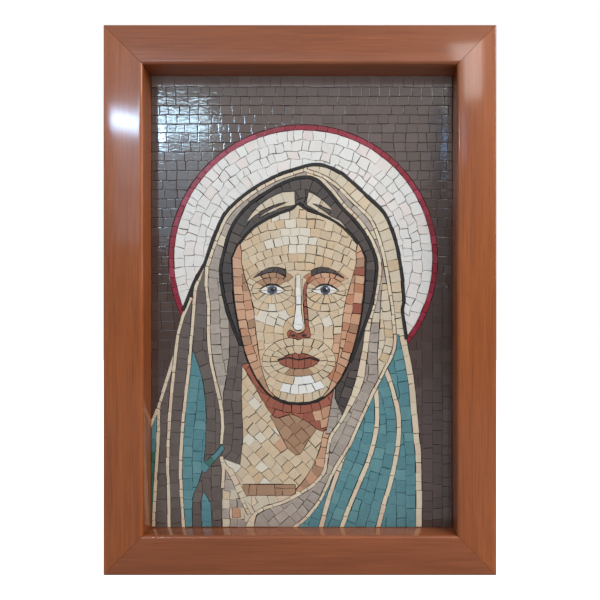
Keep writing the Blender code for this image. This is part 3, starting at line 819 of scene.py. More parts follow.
def leaning(tree, given, place, centre, lean):
    """How far back each point goes, as its cell leans and sinks. The cell's back stays put."""
    away = node(tree, "ShaderNodeVectorMath", {0: place, 1: centre},
                operation="SUBTRACT").outputs[0]
    away_parts = node(tree, "ShaderNodeSeparateXYZ", {0: away}).outputs
    lean_parts = node(tree, "ShaderNodeSeparateXYZ", {0: lean}).outputs
    raised = maths(tree, "DIVIDE", maths(tree, "MULTIPLY", away_parts["Y"], -1.0),
                   given["Thickness"], clamp=True)
    sloped = maths(tree, "MULTIPLY_ADD", away_parts["X"], lean_parts["X"],
                   maths(tree, "MULTIPLY", away_parts["Z"], lean_parts["Z"]))
    sloped = maths(tree, "MULTIPLY", sloped, given["Slope"])
    sunk = maths(tree, "MULTIPLY", given["Unevenness"],
                 maths(tree, "MULTIPLY_ADD", lean_parts["Y"], 0.5, 0.5))
    shift = maths(tree, "MULTIPLY", raised, maths(tree, "ADD", sloped, sunk))
    return node(tree, "ShaderNodeCombineXYZ", {"Y": shift}).outputs[0]


def tessera_tree():
    """Geometry Nodes that raise each flat cell to a block with a chamfered, tilted top."""
    tree = bpy.data.node_groups.get("Raise tesserae")
    if tree:
        return tree
    tree = bpy.data.node_groups.new("Raise tesserae", "GeometryNodeTree")
    tree.is_modifier = True
    interface(tree, "INPUT", "Cells", "NodeSocketGeometry")
    for name in ("Thickness", "Edge", "Rim", "Slope", "Unevenness"):
        interface(tree, "INPUT", name, "NodeSocketFloat")
    interface(tree, "INPUT", "Seed", "NodeSocketInt")
    interface(tree, "INPUT", "Stone", "NodeSocketMaterial")
    interface(tree, "OUTPUT", "Tesserae", "NodeSocketGeometry")
    given = tree.nodes.new("NodeGroupInput").outputs
    place = node(tree, "GeometryNodeInputPosition").outputs[0]
    lean = node(tree, "FunctionNodeRandomValue",
                {0: (-1.0, -1.0, -1.0), 1: (1.0, 1.0, 1.0), "Seed": given["Seed"]},
                data_type="FLOAT_VECTOR").outputs[0]
    kept = node(tree, "GeometryNodeCaptureAttribute", {"Geometry": given["Cells"]},
                domain="FACE")
    kept.capture_items.new("VECTOR", "Centre")
    kept.capture_items.new("VECTOR", "Lean")
    tree.links.new(place, kept.inputs["Centre"])
    tree.links.new(lean, kept.inputs["Lean"])
    cells = kept.outputs["Geometry"]
    offset = leaning(tree, given, place, kept.outputs["Centre"], kept.outputs["Lean"])
    tilted = node(tree, "GeometryNodeSetPosition",
                  {"Geometry": stepped_blocks(tree, given, cells), "Offset": offset})
    back = node(tree, "GeometryNodeFlipFaces", {"Mesh": cells})
    joined = node(tree, "GeometryNodeJoinGeometry")
    tree.links.new(back.outputs[0], joined.inputs[0])
    tree.links.new(tilted.outputs[0], joined.inputs[0])
    welded = node(tree, "GeometryNodeMergeByDistance",
                  {"Geometry": joined.outputs[0], "Distance": JOIN})
    real = node(tree, "GeometryNodeRealizeInstances", {"Geometry": welded.outputs[0]})
    done = node(tree, "GeometryNodeSetMaterial",
                {"Geometry": real.outputs[0], "Material": given["Stone"]})
    end = tree.nodes.new("NodeGroupOutput")
    tree.links.new(done.outputs[0], end.inputs[0])
    return tree


def plain_mesh(piece):
    """The evaluated piece as an ordinary mesh, with its modifiers taken off."""
    bpy.context.view_layer.update()
    evaluated = piece.evaluated_get(bpy.context.evaluated_depsgraph_get())
    mesh = bpy.data.meshes.new_from_object(evaluated)
    piece.modifiers.clear()
    old = piece.data
    piece.data = mesh
    bpy.data.meshes.remove(old)
    mesh.name = piece.name
    return piece


# How far the tesserae of a field differ in lightness, and how rare a strong lean to the second
# colour is
TONE_SPREAD = 0.16
ODD_RARITY = 2.6


def tones(outlines, chance):
    """For each piece its lightness, its lean to the second colour, and where its grain starts."""
    values = []
    for _ in outlines:
        lightness = min(max(chance.gauss(0.5, TONE_SPREAD), 0.0), 1.0)
        values.append((lightness, chance.random() ** ODD_RARITY, chance.random(), 1.0))
    return values


def flat_cells(name, outlines, tone, material, base):
    """A piece of flat cells, each with its tone, at the depth of the setting bed."""
    mesh = bpy.data.meshes.new(name)
    corners = [(x * MM, base, z * MM) for outline in outlines for x, z in outline]
    faces, first = [], 0
    for outline in outlines:
        faces.append(range(first, first + len(outline)))
        first += len(outline)
    mesh.from_pydata(corners, [], faces)
    attribute = mesh.attributes.new("tone", "FLOAT_COLOR", "FACE")
    attribute.data.foreach_set("color", np.array(tone, np.float32).ravel())
    mesh.materials.append(material)
    piece = bpy.data.objects.new(name, mesh)
    bpy.context.scene.collection.objects.link(piece)
    return piece


def raise_tesserae(piece, stone, thickness, settings):
    """The piece with its flat cells raised into tesserae by the node tree."""
    finish = FINISHES[stone]
    tree = tessera_tree()
    modifier = piece.modifiers.new("Raise tesserae", "NODES")
    modifier.node_group = tree
    values = {"Thickness": thickness, "Edge": settings.edge * finish.edge,
              "Rim": settings.rim * (1.0 if stone in GLASS else STONE_RIM),
              "Slope": math.tan(settings.tilt) * finish.tilt,
              "Unevenness": settings.uneven, "Stone": piece.data.materials[0],
              "Seed": settings.seed + zlib.crc32(piece.name.encode()) % 1000}
    for item in tree.interface.items_tree:
        if item.name in values:
            modifier[item.identifier] = values[item.name]
    return plain_mesh(piece)


def slanted_box(centre, half_length, half_width, angle=0.0):
    """A box about a centre, turned by an angle in degrees."""
    along = np.array((math.cos(math.radians(angle)), math.sin(math.radians(angle))))
    up = left_of(along)
    return [np.array(centre) + i * half_length * along + j * half_width * up
            for i, j in ((-1, -1), (1, -1), (1, 1), (-1, 1))]


def background_layers(loops, chance, settings):
    """Running rows, with upright columns down the lower right edge."""
    row, brick = settings.row / MM, settings.brick / MM
    column = slanted_box((183.0, -143.0), 23.0, 163.0)
    return [Layer(None, rows(loops, chance, row, brick), 40),
            Layer(column, rows([column], chance, row, brick, 90), 40)]


def halo_layers(loops, chance, settings):
    """Rings of uneven width, from the rim in towards the head."""
    radii = [HALO_EDGE]
    while radii[-1] > HALO_CORE:
        radii.append(radii[-1] - settings.tile / MM * chance.uniform(0.9, 1.35))
    return [Layer(None, rings(chance, HALO_CENTRE, HALO_CENTRE, radii[::-1], 14.0, 0.35), 45)]


def ribbon(step=None, reach=9.0, smallest=20.0, slant=0.0):
    """A narrow field cut crosswise."""
    def layers(loops, chance, settings):
        pitch = step or settings.strip / MM
        return [Layer(None, ribbon_joints(loops, chance, pitch, reach, slant), smallest)]
    return layers


def fold(side, width=13.0, step=15.5, count=9):
    """An upright fold, laid in courses beside its left or right edge."""
    def layers(loops, chance, settings):
        guide = side_edge(loops, side)
        towards = width if side == "left" else -width
        return [Layer(None, courses(guide, towards, count, step, chance), 42)]
    return layers


def band(start, end, width=12.5, step=13.5, smallest=40.0):
    """A curved band about the head, laid in five courses beside its outer edge."""
    def layers(loops, chance, settings):
        guide = round_edge(loops, VEIL_CENTRE, start, end)
        return [Layer(None, courses(guide, -width, 5, step, chance), smallest)]
    return layers


def spokes(centre, inner, outer, count, chance):
    """Cuts from inside one ellipse to outside a larger one, given by their half sizes."""
    cuts = []
    for number in range(count):
        angle = math.radians(360 / count * (number + chance.uniform(-0.15, 0.15)))
        out = np.array((math.cos(angle), math.sin(angle)))
        cuts.append([np.array(centre) + out * inner * 0.9, np.array(centre) + out * outer * 1.1])
    return cuts


def oval_course(centre, inner, outer, count, chance, smallest, nearest=None):
    """A ring of pieces round a feature, held back at the face's centre line on one side."""
    outline = arc(centre, outer[0], outer[1], 0, 360, 40)[:-1]
    if nearest:
        side = math.copysign(1.0, centre[0] - HEAD_X)
        outline = [np.array((HEAD_X + side * max(side * (x - HEAD_X), nearest), z))
                   for x, z in outline]
    return Layer(outline, spokes(centre, inner, outer, count, chance), smallest)


def face_layers(loops, chance, settings):
    """Courses that follow the jaw and the brow, and rings round the mouth and each eye."""
    side = settings.tile / MM
    jaw = [JAW_CORE + side * number for number in range(11)]
    brow = [BROW_RADIUS + BROW_COURSE * number for number in range(11)]
    forehead = (arc(BROW_CENTRE, BROW_RADIUS, BROW_RADIUS, 155, 25, 24)
                + [np.array(corner) for corner in ABOVE_THE_FACE])
    mouth = (HEAD_X, MOUTH_LEVEL - 2)
    layers = [Layer(None, rings(chance, JAW_TOP, JAW_FOOT, jaw, side), 38),
              Layer(forehead, rings(chance, BROW_CENTRE, BROW_CENTRE, brow, side), 46),
              oval_course(mouth, (37, 20), (49, 32), 22, chance, 30),
              oval_course(mouth, (20, 6), (38, 20.5), 18, chance, 26)]
    for across in (-EYE_ACROSS, EYE_ACROSS):
        eye = (HEAD_X + across, EYE_LEVEL)
        layers.append(oval_course(eye, (26, 17), (38, 28), 18, chance, 26, nearest=5.0))
        layers.append(oval_course(eye, (8, 4), (27, 17.5), 15, chance, 18, nearest=6.0))
    return layers


def chin_layers(loops, chance, settings):
    """Courses that carry on those of the jaw, under the chin."""
    side = settings.tile / MM
    radii = [JAW_CORE + side * number for number in range(4, 14)]
    return [Layer(None, rings(chance, JAW_TOP, JAW_FOOT, radii, side * 1.1), 30)]


def eye_layers(loops, chance, settings):
    """White in wedges, an iris in wedges with its pupil and its light, and the lid's line."""
    low, high = extent(loops)
    middle = np.array(((low[0] + high[0]) / 2, EYE_LEVEL + 0.7))
    iris = arc(middle, IRIS_RADIUS, IRIS_RADIUS, 0, 360, 24)[:-1]
    pupil = arc(middle, PUPIL_RADIUS, PUPIL_RADIUS, 0, 360, 14)[:-1]
    light = arc(middle + (2.1, 2.1), GLINT_RADIUS, GLINT_RADIUS, 0, 360, 8)[:-1]
    return [Layer(None, spokes(middle, 3, 20, 10, chance), 2.0),
            Layer(iris, spokes(middle, 0, 7.5, 9, chance), 1.0, "iris"),
            Layer(pupil, [], 1.0, "black"), Layer(light, [], 0.5, "white"),
            Layer(lid_line(low, high), [], 2.0, "black")]


def lid_line(low, high, thickness=2.0):
    """The dark line under the upper lid, thickest over the iris."""
    centre, half = (low[0] + high[0]) / 2, (high[0] - low[0]) / 2 + 1
    top, under = [], []
    for share in np.linspace(-1, 1, 17):
        x = centre + share * half
        z = EYE_LEVEL + (high[1] - EYE_LEVEL) * (1 - share * share)
        top.append(np.array((x, z + 2.0)))
        under.append(np.array((x, z - thickness * (1 - 0.7 * share * share))))
    return top + under[::-1]


def lip_layers(loops, chance, settings):
    """Upright cuts through both lips, parted by a dark line."""
    low, high = extent(loops)
    centre, half = (low[0] + high[0]) / 2, (high[0] - low[0]) / 2
    line = []
    for share in np.linspace(-1, 1, 13):
        z = MOUTH_LEVEL + 0.9 - 1.6 * math.cos(2 * math.pi * share)
        line.append(np.array((centre + share * half, z)))
    parting = beside(line, 0.9) + beside(line, -0.9)[::-1]
    cuts = [line]
    for share in (-0.62, -0.3, 0.0, 0.3, 0.62):
        x = centre + share * half
        cuts.append([np.array((x, low[1] - 2)), np.array((x + 0.8 * share, high[1] + 2))])
    return [Layer(None, cuts, 8.0), Layer(parting, [], 2.0, "black")]


def tie_layers(loops, chance, settings):
    """The left teal fold, with one green tile where it is tied."""
    return fold("left")(loops, chance, settings) + [
        Layer(slanted_box((-121.5, -212.7), 6.5, 4.2, angle=51), [], 2.0, "green")]


def collar_layers(loops, chance, settings):
    """The collar, with one warm tile at its foot."""
    return fold("left", width=10.0, step=13.0)(loops, chance, settings) + [
        Layer(slanted_box((-87.0, -281.0), 5.5, 7.0), [], 2.0, "peach")]


def neck_layers(loops, chance, settings):
    """Slanting rows on the light side of the neck."""
    side = settings.tile / MM
    return [Layer(None, rows(loops, chance, side, side * 1.1, NECK_SLANT), 40)]


def throat_layers(loops, chance, settings):
    """Slanting rows of tan over the whole throat."""
    field = rows(loops, chance, 12.5, 13.0, NECK_SLANT)
    whole = slanted_box((0, -160), 200, 200)
    return [Layer(None, [], 0.0), Layer(whole, field, 40, "tan")]


def neckband_layers(loops, chance, settings):
    """Upright tan pieces over the whole neckband."""
    whole = slanted_box((0, -250), 200, 60)
    return [Layer(None, [], 0.0),
            Layer(whole, ribbon_joints(loops, chance, 11.5, 19.0), 40, "tan")]


def nose_layers(loops, chance, settings):
    """The shaded side of the nose, with both nostrils."""
    layers = ribbon(step=9.0, reach=8.0, smallest=14.0)(loops, chance, settings)
    for across in (-7.2, 7.2):
        nostril = arc((HEAD_X + across, NOSE_BASE + 2.2), 3.4, 1.7, 0, 360, 12)[:-1]
        layers.append(Layer(nostril, [], 0.5, "black"))
    return layers


# How each field is laid. A field that isn't named is an ordinary ribbon
STYLES = {
    "background": background_layers,
    "halo_rim": ribbon(step=13.5, reach=7.0, smallest=28.0),
    "halo_field": halo_layers,
    "mantle_fold_outer": fold("left"),
    "mantle_edge": fold("right", width=14.0, step=17.0),
    "mantle_fold_middle": fold("left", step=16.5),
    "mantle_fold_inner": fold("left", step=16.5),
    "mantle_fold_lower": fold("right"),
    "teal_fold_left": tie_layers,
    "teal_wedge": fold("left"),
    "teal_fold_outer": fold("right"),
    "teal_fold_third": fold("right"),
    "teal_fold_second": fold("right"),
    "teal_fold_first": fold("right"),
    "veil_band_left": band(255, 60, width=13.0, step=14.5),
    "veil_outer_band_right": band(110, -60, width=16.0, step=14.0),
    "drape_fold_right": fold("right", width=12.5, step=14.0, count=14),
    "drape_light_right": fold("right", width=11.0, step=13.0),
    "drape_inner_right": fold("left", width=11.0, step=13.0),
    "hair": band(230, -60, step=14.0, smallest=38.0),
    "hair_fall_left": fold("left", width=11.5, step=16.0),
    "hair_fall_right": fold("right", width=12.0, step=14.0),
    "light_locks_left": ribbon(step=13.0, reach=15.0),
    "light_locks_right": ribbon(step=12.0, reach=14.0, smallest=18.0),
    "neck": neck_layers,
    "neck_side": fold("right", width=11.0, step=12.5),
    "neck_shadow": chin_layers,
    "throat": throat_layers,
    "neckband": neckband_layers,
    "collar": collar_layers,
    "collar_trim": ribbon(reach=13.0),
    "neck_fold_strip": ribbon(reach=13.0, smallest=24.0),
    "right_hem_strip": ribbon(reach=11.0, smallest=24.0),
    "face": face_layers,
    "face_line": ribbon(step=14.0, reach=5.0, smallest=10.0),
    "cheek_right": band(80, -90, width=12.0, step=12.5, smallest=34.0),
    "cheek_left": band(270, 95, width=12.0, step=12.5, smallest=34.0),
    "nose_shade": nose_layers,
    "nose_light": ribbon(step=12.5, reach=12.0, smallest=24.0),
    "lips": lip_layers,
    "brow_right": ribbon(step=8.5, reach=7.0, smallest=12.0, slant=0.35),
    "brow_left": ribbon(step=8.5, reach=7.0, smallest=12.0, slant=0.35),
    "eye_right": eye_layers,
    "eye_left": eye_layers,
}

# The slot of each CAD field, whose name is also that of the stone that the field is usually cut
# from
SLOT_OF = {part["node"]: part["material_slot"] for part in frame["record"]["subparts"]}
# Fields laid in another stone than their slot's: the brown of the mantle and of the hair beside
# the face is duller than the ground's glass
STONE_OF = {
    "mantle_fold_outer": "brown",
    "mantle_fold_middle": "brown",
    "mantle_fold_inner": "brown",
    "mantle_fold_lower": "brown",
    "hair_fall_left": "brown",
}
# How much more or less than usual the joints of a field stray
WAVERS = {
    "background": 0.5,
    "halo_rim": 0.3,
    "halo_field": 1.7,
    "eye_left": 0.0,
    "eye_right": 0.0,
    "lips": 0.3,
    "nose_light": 0.2,
    "nose_shade": 0.2,
}

# Ovals where odd pieces of another stone are let in, and the share of pieces they take
Patch = namedtuple("Patch", "stone x z half_x half_z share")
# Half the width of a patch that reaches past the whole panel
WIDE = 999.0


def throughout(stone, share):
    """A patch over the whole of a field."""
    return Patch(stone, 0, 0, WIDE, WIDE, share)


PATCHES = {
    # The first row is laid in slate, the umber painted lighter: painted light against the shade
    # under the top rail
    "background": (Patch("slate", 0, 298, WIDE, 8.5, 1.0),),
    "mantle_edge": (Patch("green", -196, -262, 20, 62, 1.0),),
    "face": (Patch("tan", HEAD_X - 35, EYE_LEVEL + 14, 23, 8, 1.0),
             Patch("peach", HEAD_X + 35, EYE_LEVEL + 14, 25, 9, 1.0),
             Patch("tan", HEAD_X, -94, 15, 6, 1.0),
             Patch("white", HEAD_X, -114, 27, 11, 1.0),
             Patch("pale", HEAD_X - 36, -20, 19, 12, 0.9),
             Patch("pale", HEAD_X + 33, -22, 15, 11, 0.8),
             Patch("pale", HEAD_X - 10, 84, 34, 20, 0.6),
             Patch("pale", HEAD_X - 10, 80, 52, 34, 0.15),
             Patch("peach", HEAD_X + 60, -78, 17, 36, 0.9),
             Patch("tan", HEAD_X - 62, -60, 10, 30, 0.7)),
    "cheek_right": (Patch("terracotta", HEAD_X + 84, 10, 10, 34, 0.35),
                    throughout("tan", 0.12)),
    "cheek_left": (throughout("tan", 0.2),),
    "neck": (Patch("pale", -64, -200, 34, 70, 0.2),
             Patch("peach", -30, -170, 14, 24, 0.4)),
    "neck_shadow": (Patch("peach", 30, -154, 18, 10, 0.6),),
    "neck_side": (throughout("tan", 0.4),),
    "collar": (throughout("sand", 0.4),),
    "collar_trim": (Patch("sand", -45, -264, 40, 12, 0.5),),
    "veil_band_left": (Patch("sand", -110, 80, 40, 60, 0.25),),
    "veil_outer_band_right": (throughout("skin", 0.2),),
    "drape_light_right": (throughout("skin", 0.3),),
    "drape_fold_right": (Patch("sand", 100, 20, 16, 90, 0.3),),
}


def odd_stone(name, centre, chance):
    """The stone of a piece that differs from its field's, or None."""
    for patch in PATCHES.get(name, ()):
        away = math.hypot((centre[0] - patch.x) / patch.half_x,
                          (centre[1] - patch.z) / patch.half_z)
        if away < 1 and chance.random() < patch.share:
            return patch.stone
    return None


def cut_field(name, settings, chance):
    """The outlines of a field's tesserae, gathered by the stone that each is cut from."""
    loops = field_loops(name)
    layers = STYLES.get(name, ribbon())(loops, chance, settings)
    layers = wavering(layers, chance, settings.waver / MM * WAVERS.get(name, 1.0))
    usual = STONE_OF.get(name, SLOT_OF[name])
    by_stone = {}
    for number, outline in cut_cells(loops, layers):
        odd = layers[number].stone or odd_stone(name, np.mean(outline, axis=0), chance)
        stone = odd or usual
        joint = settings.joint / MM * FINISHES[stone].joint
        outline = tidied(outline)
        cut = hand_cut(outline, joint / 2, chance)
        outline = drawn_in(outline, LEAST_SETBACK) if crosses_itself(cut) else cut
        if len(outline) > 2 and signed_area(outline) > SMALLEST_PIECE:
            by_stone.setdefault(stone, []).append(outline)
    return by_stone


def lay_field(name, panel):
    """Cut one CAD field into tesserae, and let the pieces stand for it."""
    settings = panel.tesserae
    chance = random.Random(settings.seed + zlib.crc32(name.encode()))
    low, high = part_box(name)
    for stone, outlines in cut_field(name, settings, chance).items():
        cells = flat_cells(f"{name}_{stone}", outlines, tones(outlines, chance),
                           stone_material(stone, panel), high.y)
        piece = raise_tesserae(cells, stone, high.y - low.y, settings)
        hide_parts(name)
        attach(piece, "root")


def lay_fields(context, names):
    """Lay several fields one after the other, for an operator."""
    for name in names:
        lay_field(name, context.scene.mosaic_panel)
    return {"FINISHED"}


def new_material(name):
    """A new node material, with its tree and its shader."""
    material = bpy.data.materials.new(name)
    material.use_nodes = True
    tree = material.node_tree
    return material, tree, tree.nodes["Principled BSDF"]


def mix(tree, factor, first, second):
    """The colour between two others, each given as a value or as a socket."""
    made = node(tree, "ShaderNodeMix", data_type="RGBA")
    made.clamp_factor = True
    for socket, value in ((made.inputs[0], factor), (made.inputs[6], first),
                          (made.inputs[7], second)):
        if isinstance(value, bpy.types.NodeSocket):
            tree.links.new(value, socket)
        else:
            socket.default_value = value
    return made.outputs[2]


def noise(tree, place, scale, detail=2.0, distortion=0.0):
    """Soft random spots, from 0 to 1."""
    return node(tree, "ShaderNodeTexNoise",
                {"Vector": place, "Scale": scale, "Detail": detail,
                 "Distortion": distortion}).outputs["Fac"]


# How many spots of each kind a metre of stone holds, and how thin a vein is
CLOUDS = 170.0
SPECKS = 1100.0
VEINS = 75.0
WAVES = 230.0
VEIN_WIDTH = 0.018


def own_place(tree, start):
    """Places in the stone, moved by the piece's own start, so that no two grains are alike."""
    shift = node(tree, "ShaderNodeCombineXYZ",
                 {"X": maths(tree, "MULTIPLY", start, 3.1),
                  "Y": maths(tree, "MULTIPLY", start, 7.7),
                  "Z": maths(tree, "MULTIPLY", start, 5.3)}).outputs[0]
    return node(tree, "ShaderNodeVectorMath",
                {0: node(tree, "ShaderNodeTexCoord").outputs["Object"], 1: shift},
                operation="ADD").outputs[0]


def veins(tree, place, strength):
    """Thin lines, where a soft noise passes its middle."""
    away = maths(tree, "SUBTRACT", noise(tree, place, VEINS, 4.0, 1.6), 0.5)
    away = maths(tree, "DIVIDE", maths(tree, "ABSOLUTE", away), VEIN_WIDTH)
    return maths(tree, "MULTIPLY", maths(tree, "SUBTRACT", 1.0, away, clamp=True), strength)


def cut_stone_group():
    """Colour, roughness, grain and, for glass, the drawn-out waves of a cut piece.

    The piece's own tone says how light it is, how far it leans to the second colour and where
    its grain starts.
    """
    tree = bpy.data.node_groups.get("Cut stone")
    if tree:
        return tree
    tree = bpy.data.node_groups.new("Cut stone", "ShaderNodeTree")
    interface(tree, "INPUT", "Main", "NodeSocketColor")
    interface(tree, "INPUT", "Second", "NodeSocketColor")
    for name in ("Spread", "Cloud", "Vein", "Roughness"):
        interface(tree, "INPUT", name, "NodeSocketFloat", 0.3)
    interface(tree, "OUTPUT", "Color", "NodeSocketColor")
    for name in ("Roughness", "Height", "Wave"):
        interface(tree, "OUTPUT", name, "NodeSocketFloat")
    given = tree.nodes.new("NodeGroupInput").outputs
    tone = node(tree, "ShaderNodeAttribute", attribute_name="tone").outputs["Color"]
    lightness, second, start = node(tree, "ShaderNodeSeparateColor", {0: tone}).outputs
    place = own_place(tree, start)
    cloud = noise(tree, place, CLOUDS, 3.0, 0.4)
    speck = noise(tree, place, SPECKS)
    fleck = maths(tree, "SUBTRACT", speck, 0.5)
    drift = maths(tree, "MULTIPLY", maths(tree, "SUBTRACT", cloud, 0.5), given["Cloud"])
    lean = maths(tree, "ADD", second, maths(tree, "MULTIPLY", drift, 2.0), clamp=True)
    base = mix(tree, lean, given["Main"], given["Second"])
    light = maths(tree, "MULTIPLY", maths(tree, "SUBTRACT", lightness, 0.5), given["Spread"])
    light = maths(tree, "MULTIPLY_ADD", fleck, 0.10, maths(tree, "ADD", light, drift))
    vein = maths(tree, "MULTIPLY", veins(tree, place, given["Vein"]), 0.35)
    light = maths(tree, "SUBTRACT", maths(tree, "ADD", light, 1.0), vein)
    lit = node(tree, "ShaderNodeVectorMath", {0: base, 3: light}, operation="SCALE").outputs[0]
    rough = maths(tree, "ADD", given["Roughness"], maths(tree, "MULTIPLY", fleck, 0.25),
                  clamp=True)
    height = maths(tree, "MULTIPLY_ADD", speck, 0.25, maths(tree, "MULTIPLY", cloud, 0.75))
    drawn_out = node(tree, "ShaderNodeVectorMath", {0: place, 1: (0.4, 1.0, 1.0)},
                     operation="MULTIPLY").outputs[0]
    end = tree.nodes.new("NodeGroupOutput")
    tree.links.new(lit, end.inputs["Color"])
    tree.links.new(rough, end.inputs["Roughness"])
    tree.links.new(height, end.inputs["Height"])
    tree.links.new(noise(tree, drawn_out, WAVES, 2.0, 0.6), end.inputs["Wave"])
    return tree


# The glasses that mirror in patches: their tops are waved and fall off over a wide rim, and they
# mirror more than stone
GLASS = ("umber", "slate", "teal", "green")
GLASS_IOR = 1.65
STONE_IOR = 1.5
# The rim of a stone tessera as a share of a glass one's
STONE_RIM = 0.35

# Each finish: how far its pieces differ in lightness, its clouding, its veins, its roughness, its
# coat, its bump in mm, and its joint, its chamfer and its tilt as shares of the usual ones
Finish = namedtuple("Finish", "spread cloud vein roughness coat bump joint edge tilt",
                    defaults=(0.42, 0.2, 0.12, 1.0, 1.0, 1.0))
GROUND_GLASS = Finish(0.20, 0.16, 0.0, roughness=0.08, coat=0.0, bump=0.10, joint=0.4, edge=0.5,
                      tilt=0.25)
FINISHES = {
    "umber": GROUND_GLASS,
    "slate": GROUND_GLASS,
    "teal": Finish(0.12, 0.28, 0.20, roughness=0.30, coat=0.0, bump=0.20, joint=0.75, edge=0.7),
    "green": Finish(0.20, 0.22, 0.10, roughness=0.30, coat=0.4, bump=0.20, joint=0.6, edge=0.8),
    "crimson": Finish(0.40, 0.25, 0.0, roughness=0.30, coat=0.15, bump=0.20, joint=0.6, edge=0.7),
    "iris": Finish(0.30, 0.45, 0.0, roughness=0.25, coat=0.6, bump=0.10, joint=0.6, edge=0.6),
    "brown": Finish(0.16, 0.26, 0.20, coat=0.0, bump=0.14, joint=0.7, edge=0.8),
    "black": Finish(0.50, 0.25, 0.0, roughness=0.55, coat=0.0, bump=0.14, joint=0.5, edge=0.5),
    "charcoal": Finish(0.34, 0.25, 0.10, roughness=0.45, coat=0.1, bump=0.14, joint=0.9, edge=0.9),
    "cream": Finish(0.12, 0.16, 0.25, roughness=0.40, joint=0.95, edge=0.8),
    "ivory": Finish(0.18, 0.20, 0.15, joint=0.9, edge=0.8),
    "white": Finish(0.12, 0.10, 0.20, roughness=0.38, coat=0.25, bump=0.10),
    "sand": Finish(0.22, 0.28, 0.25, roughness=0.45, bump=0.14),
    "taupe": Finish(0.20, 0.30, 0.40, bump=0.14),
    "terracotta": Finish(0.34, 0.25, 0.15, bump=0.14),
    "skin": Finish(0.24, 0.26, 0.30),
    "pale": Finish(0.14, 0.12, 0.15),
    "peach": Finish(0.26, 0.28, 0.25),
    "tan": Finish(0.26, 0.22, 0.25),
}


def link_shader(tree, shader, base, roughness, bump):
    """Link a colour, a roughness and a bump to the shader."""
    tree.links.new(base, shader.inputs["Base Color"])
    tree.links.new(roughness, shader.inputs["Roughness"])
    tree.links.new(bump.outputs[0], shader.inputs["Normal"])


def stone_material(kind, panel):
    """The material of one stone or glass, made once."""
    name = f"{kind} tesserae"
    if name in bpy.data.materials:
        return bpy.data.materials[name]
    finish = FINISHES[kind]
    is_glass = kind in GLASS
    material, tree, shader = new_material(name)
    main, second = getattr(panel.stones, kind), getattr(panel.stones, f"{kind}_second")
    group = node(tree, "ShaderNodeGroup",
                 {"Main": (*main, 1.0), "Second": (*second, 1.0), "Spread": finish.spread,
                  "Cloud": finish.cloud, "Vein": finish.vein, "Roughness": finish.roughness},
                 node_tree=cut_stone_group())
    bump = node(tree, "ShaderNodeBump",
                {"Height": group.outputs["Wave" if is_glass else "Height"],
                 "Distance": finish.bump * MM, "Strength": 1.0 if is_glass else 0.6})
    link_shader(tree, shader, group.outputs["Color"], group.outputs["Roughness"], bump)
    shader.inputs["IOR"].default_value = GLASS_IOR if is_glass else STONE_IOR
    shader.inputs["Coat Weight"].default_value = finish.coat
    shader.inputs["Coat Roughness"].default_value = 0.05
    return material


# Repeats of the wood's figure in a metre, along its grain and across it
BROAD = (3.0, 26.0)
BANDS = (5.0, 150.0)
FIBRES = (18.0, 700.0)
PORES = (70.0, 1500.0)
# Only the lightest spots of the pores' noise are pores
PORE_LEVEL = 0.62


def wood_grain_group():
    """Long fibres, bands and pores. U runs along the member and V across it, in metres."""
    tree = bpy.data.node_groups.get("Wood grain")
    if tree:
        return tree
    tree = bpy.data.node_groups.new("Wood grain", "ShaderNodeTree")
    interface(tree, "INPUT", "Light", "NodeSocketColor")
    interface(tree, "INPUT", "Dark", "NodeSocketColor")
    interface(tree, "OUTPUT", "Color", "NodeSocketColor")
    interface(tree, "OUTPUT", "Roughness", "NodeSocketFloat")
    interface(tree, "OUTPUT", "Height", "NodeSocketFloat")
    given = tree.nodes.new("NodeGroupInput").outputs
    place = node(tree, "ShaderNodeUVMap", uv_map="UVMap").outputs[0]

    def figure(repeats, detail, distortion=0.0):
        drawn_out = node(tree, "ShaderNodeVectorMath", {0: place, 1: (*repeats, 1.0)},
                         operation="MULTIPLY").outputs[0]
        return noise(tree, drawn_out, 1.0, detail, distortion)

    broad = figure(BROAD, 4.0, 0.6)
    bands = figure(BANDS, 4.0, 0.8)
    fibre = figure(FIBRES, 4.0)
    pore = maths(tree, "SUBTRACT", figure(PORES, 2.0), PORE_LEVEL, clamp=True)
    pore = maths(tree, "MULTIPLY", pore, 6.0, clamp=True)
    dark = maths(tree, "MULTIPLY_ADD", broad, 0.7, maths(tree, "MULTIPLY", bands, 0.6))
    dark = maths(tree, "MULTIPLY_ADD", fibre, 0.8, maths(tree, "SUBTRACT", dark, 0.68))
    dark = maths(tree, "MULTIPLY_ADD", pore, 0.4, dark, clamp=True)
    end = tree.nodes.new("NodeGroupOutput")
    tree.links.new(mix(tree, dark, given["Light"], given["Dark"]), end.inputs["Color"])
    tree.links.new(maths(tree, "MULTIPLY_ADD", fibre, 0.2, 0.28), end.inputs["Roughness"])
    tree.links.new(maths(tree, "SUBTRACT", fibre, pore), end.inputs["Height"])
    return tree


def wood_material(name, light, dark):
    """Stained wood under a clear, nearly smooth lacquer."""
    material, tree, shader = new_material(name)
    group = node(tree, "ShaderNodeGroup", {"Light": (*light, 1.0), "Dark": (*dark, 1.0)},
                 node_tree=wood_grain_group())
    bump = node(tree, "ShaderNodeBump", {"Height": group.outputs["Height"],
                                         "Distance": 0.05 * MM, "Strength": 0.35})
    link_shader(tree, shader, group.outputs["Color"], group.outputs["Roughness"], bump)
    shader.inputs["Specular IOR Level"].default_value = 0.2
    shader.inputs["Coat Weight"].default_value = 1.0
    shader.inputs["Coat Roughness"].default_value = 0.09
    shader.inputs["Coat IOR"].default_value = 1.38
    return material


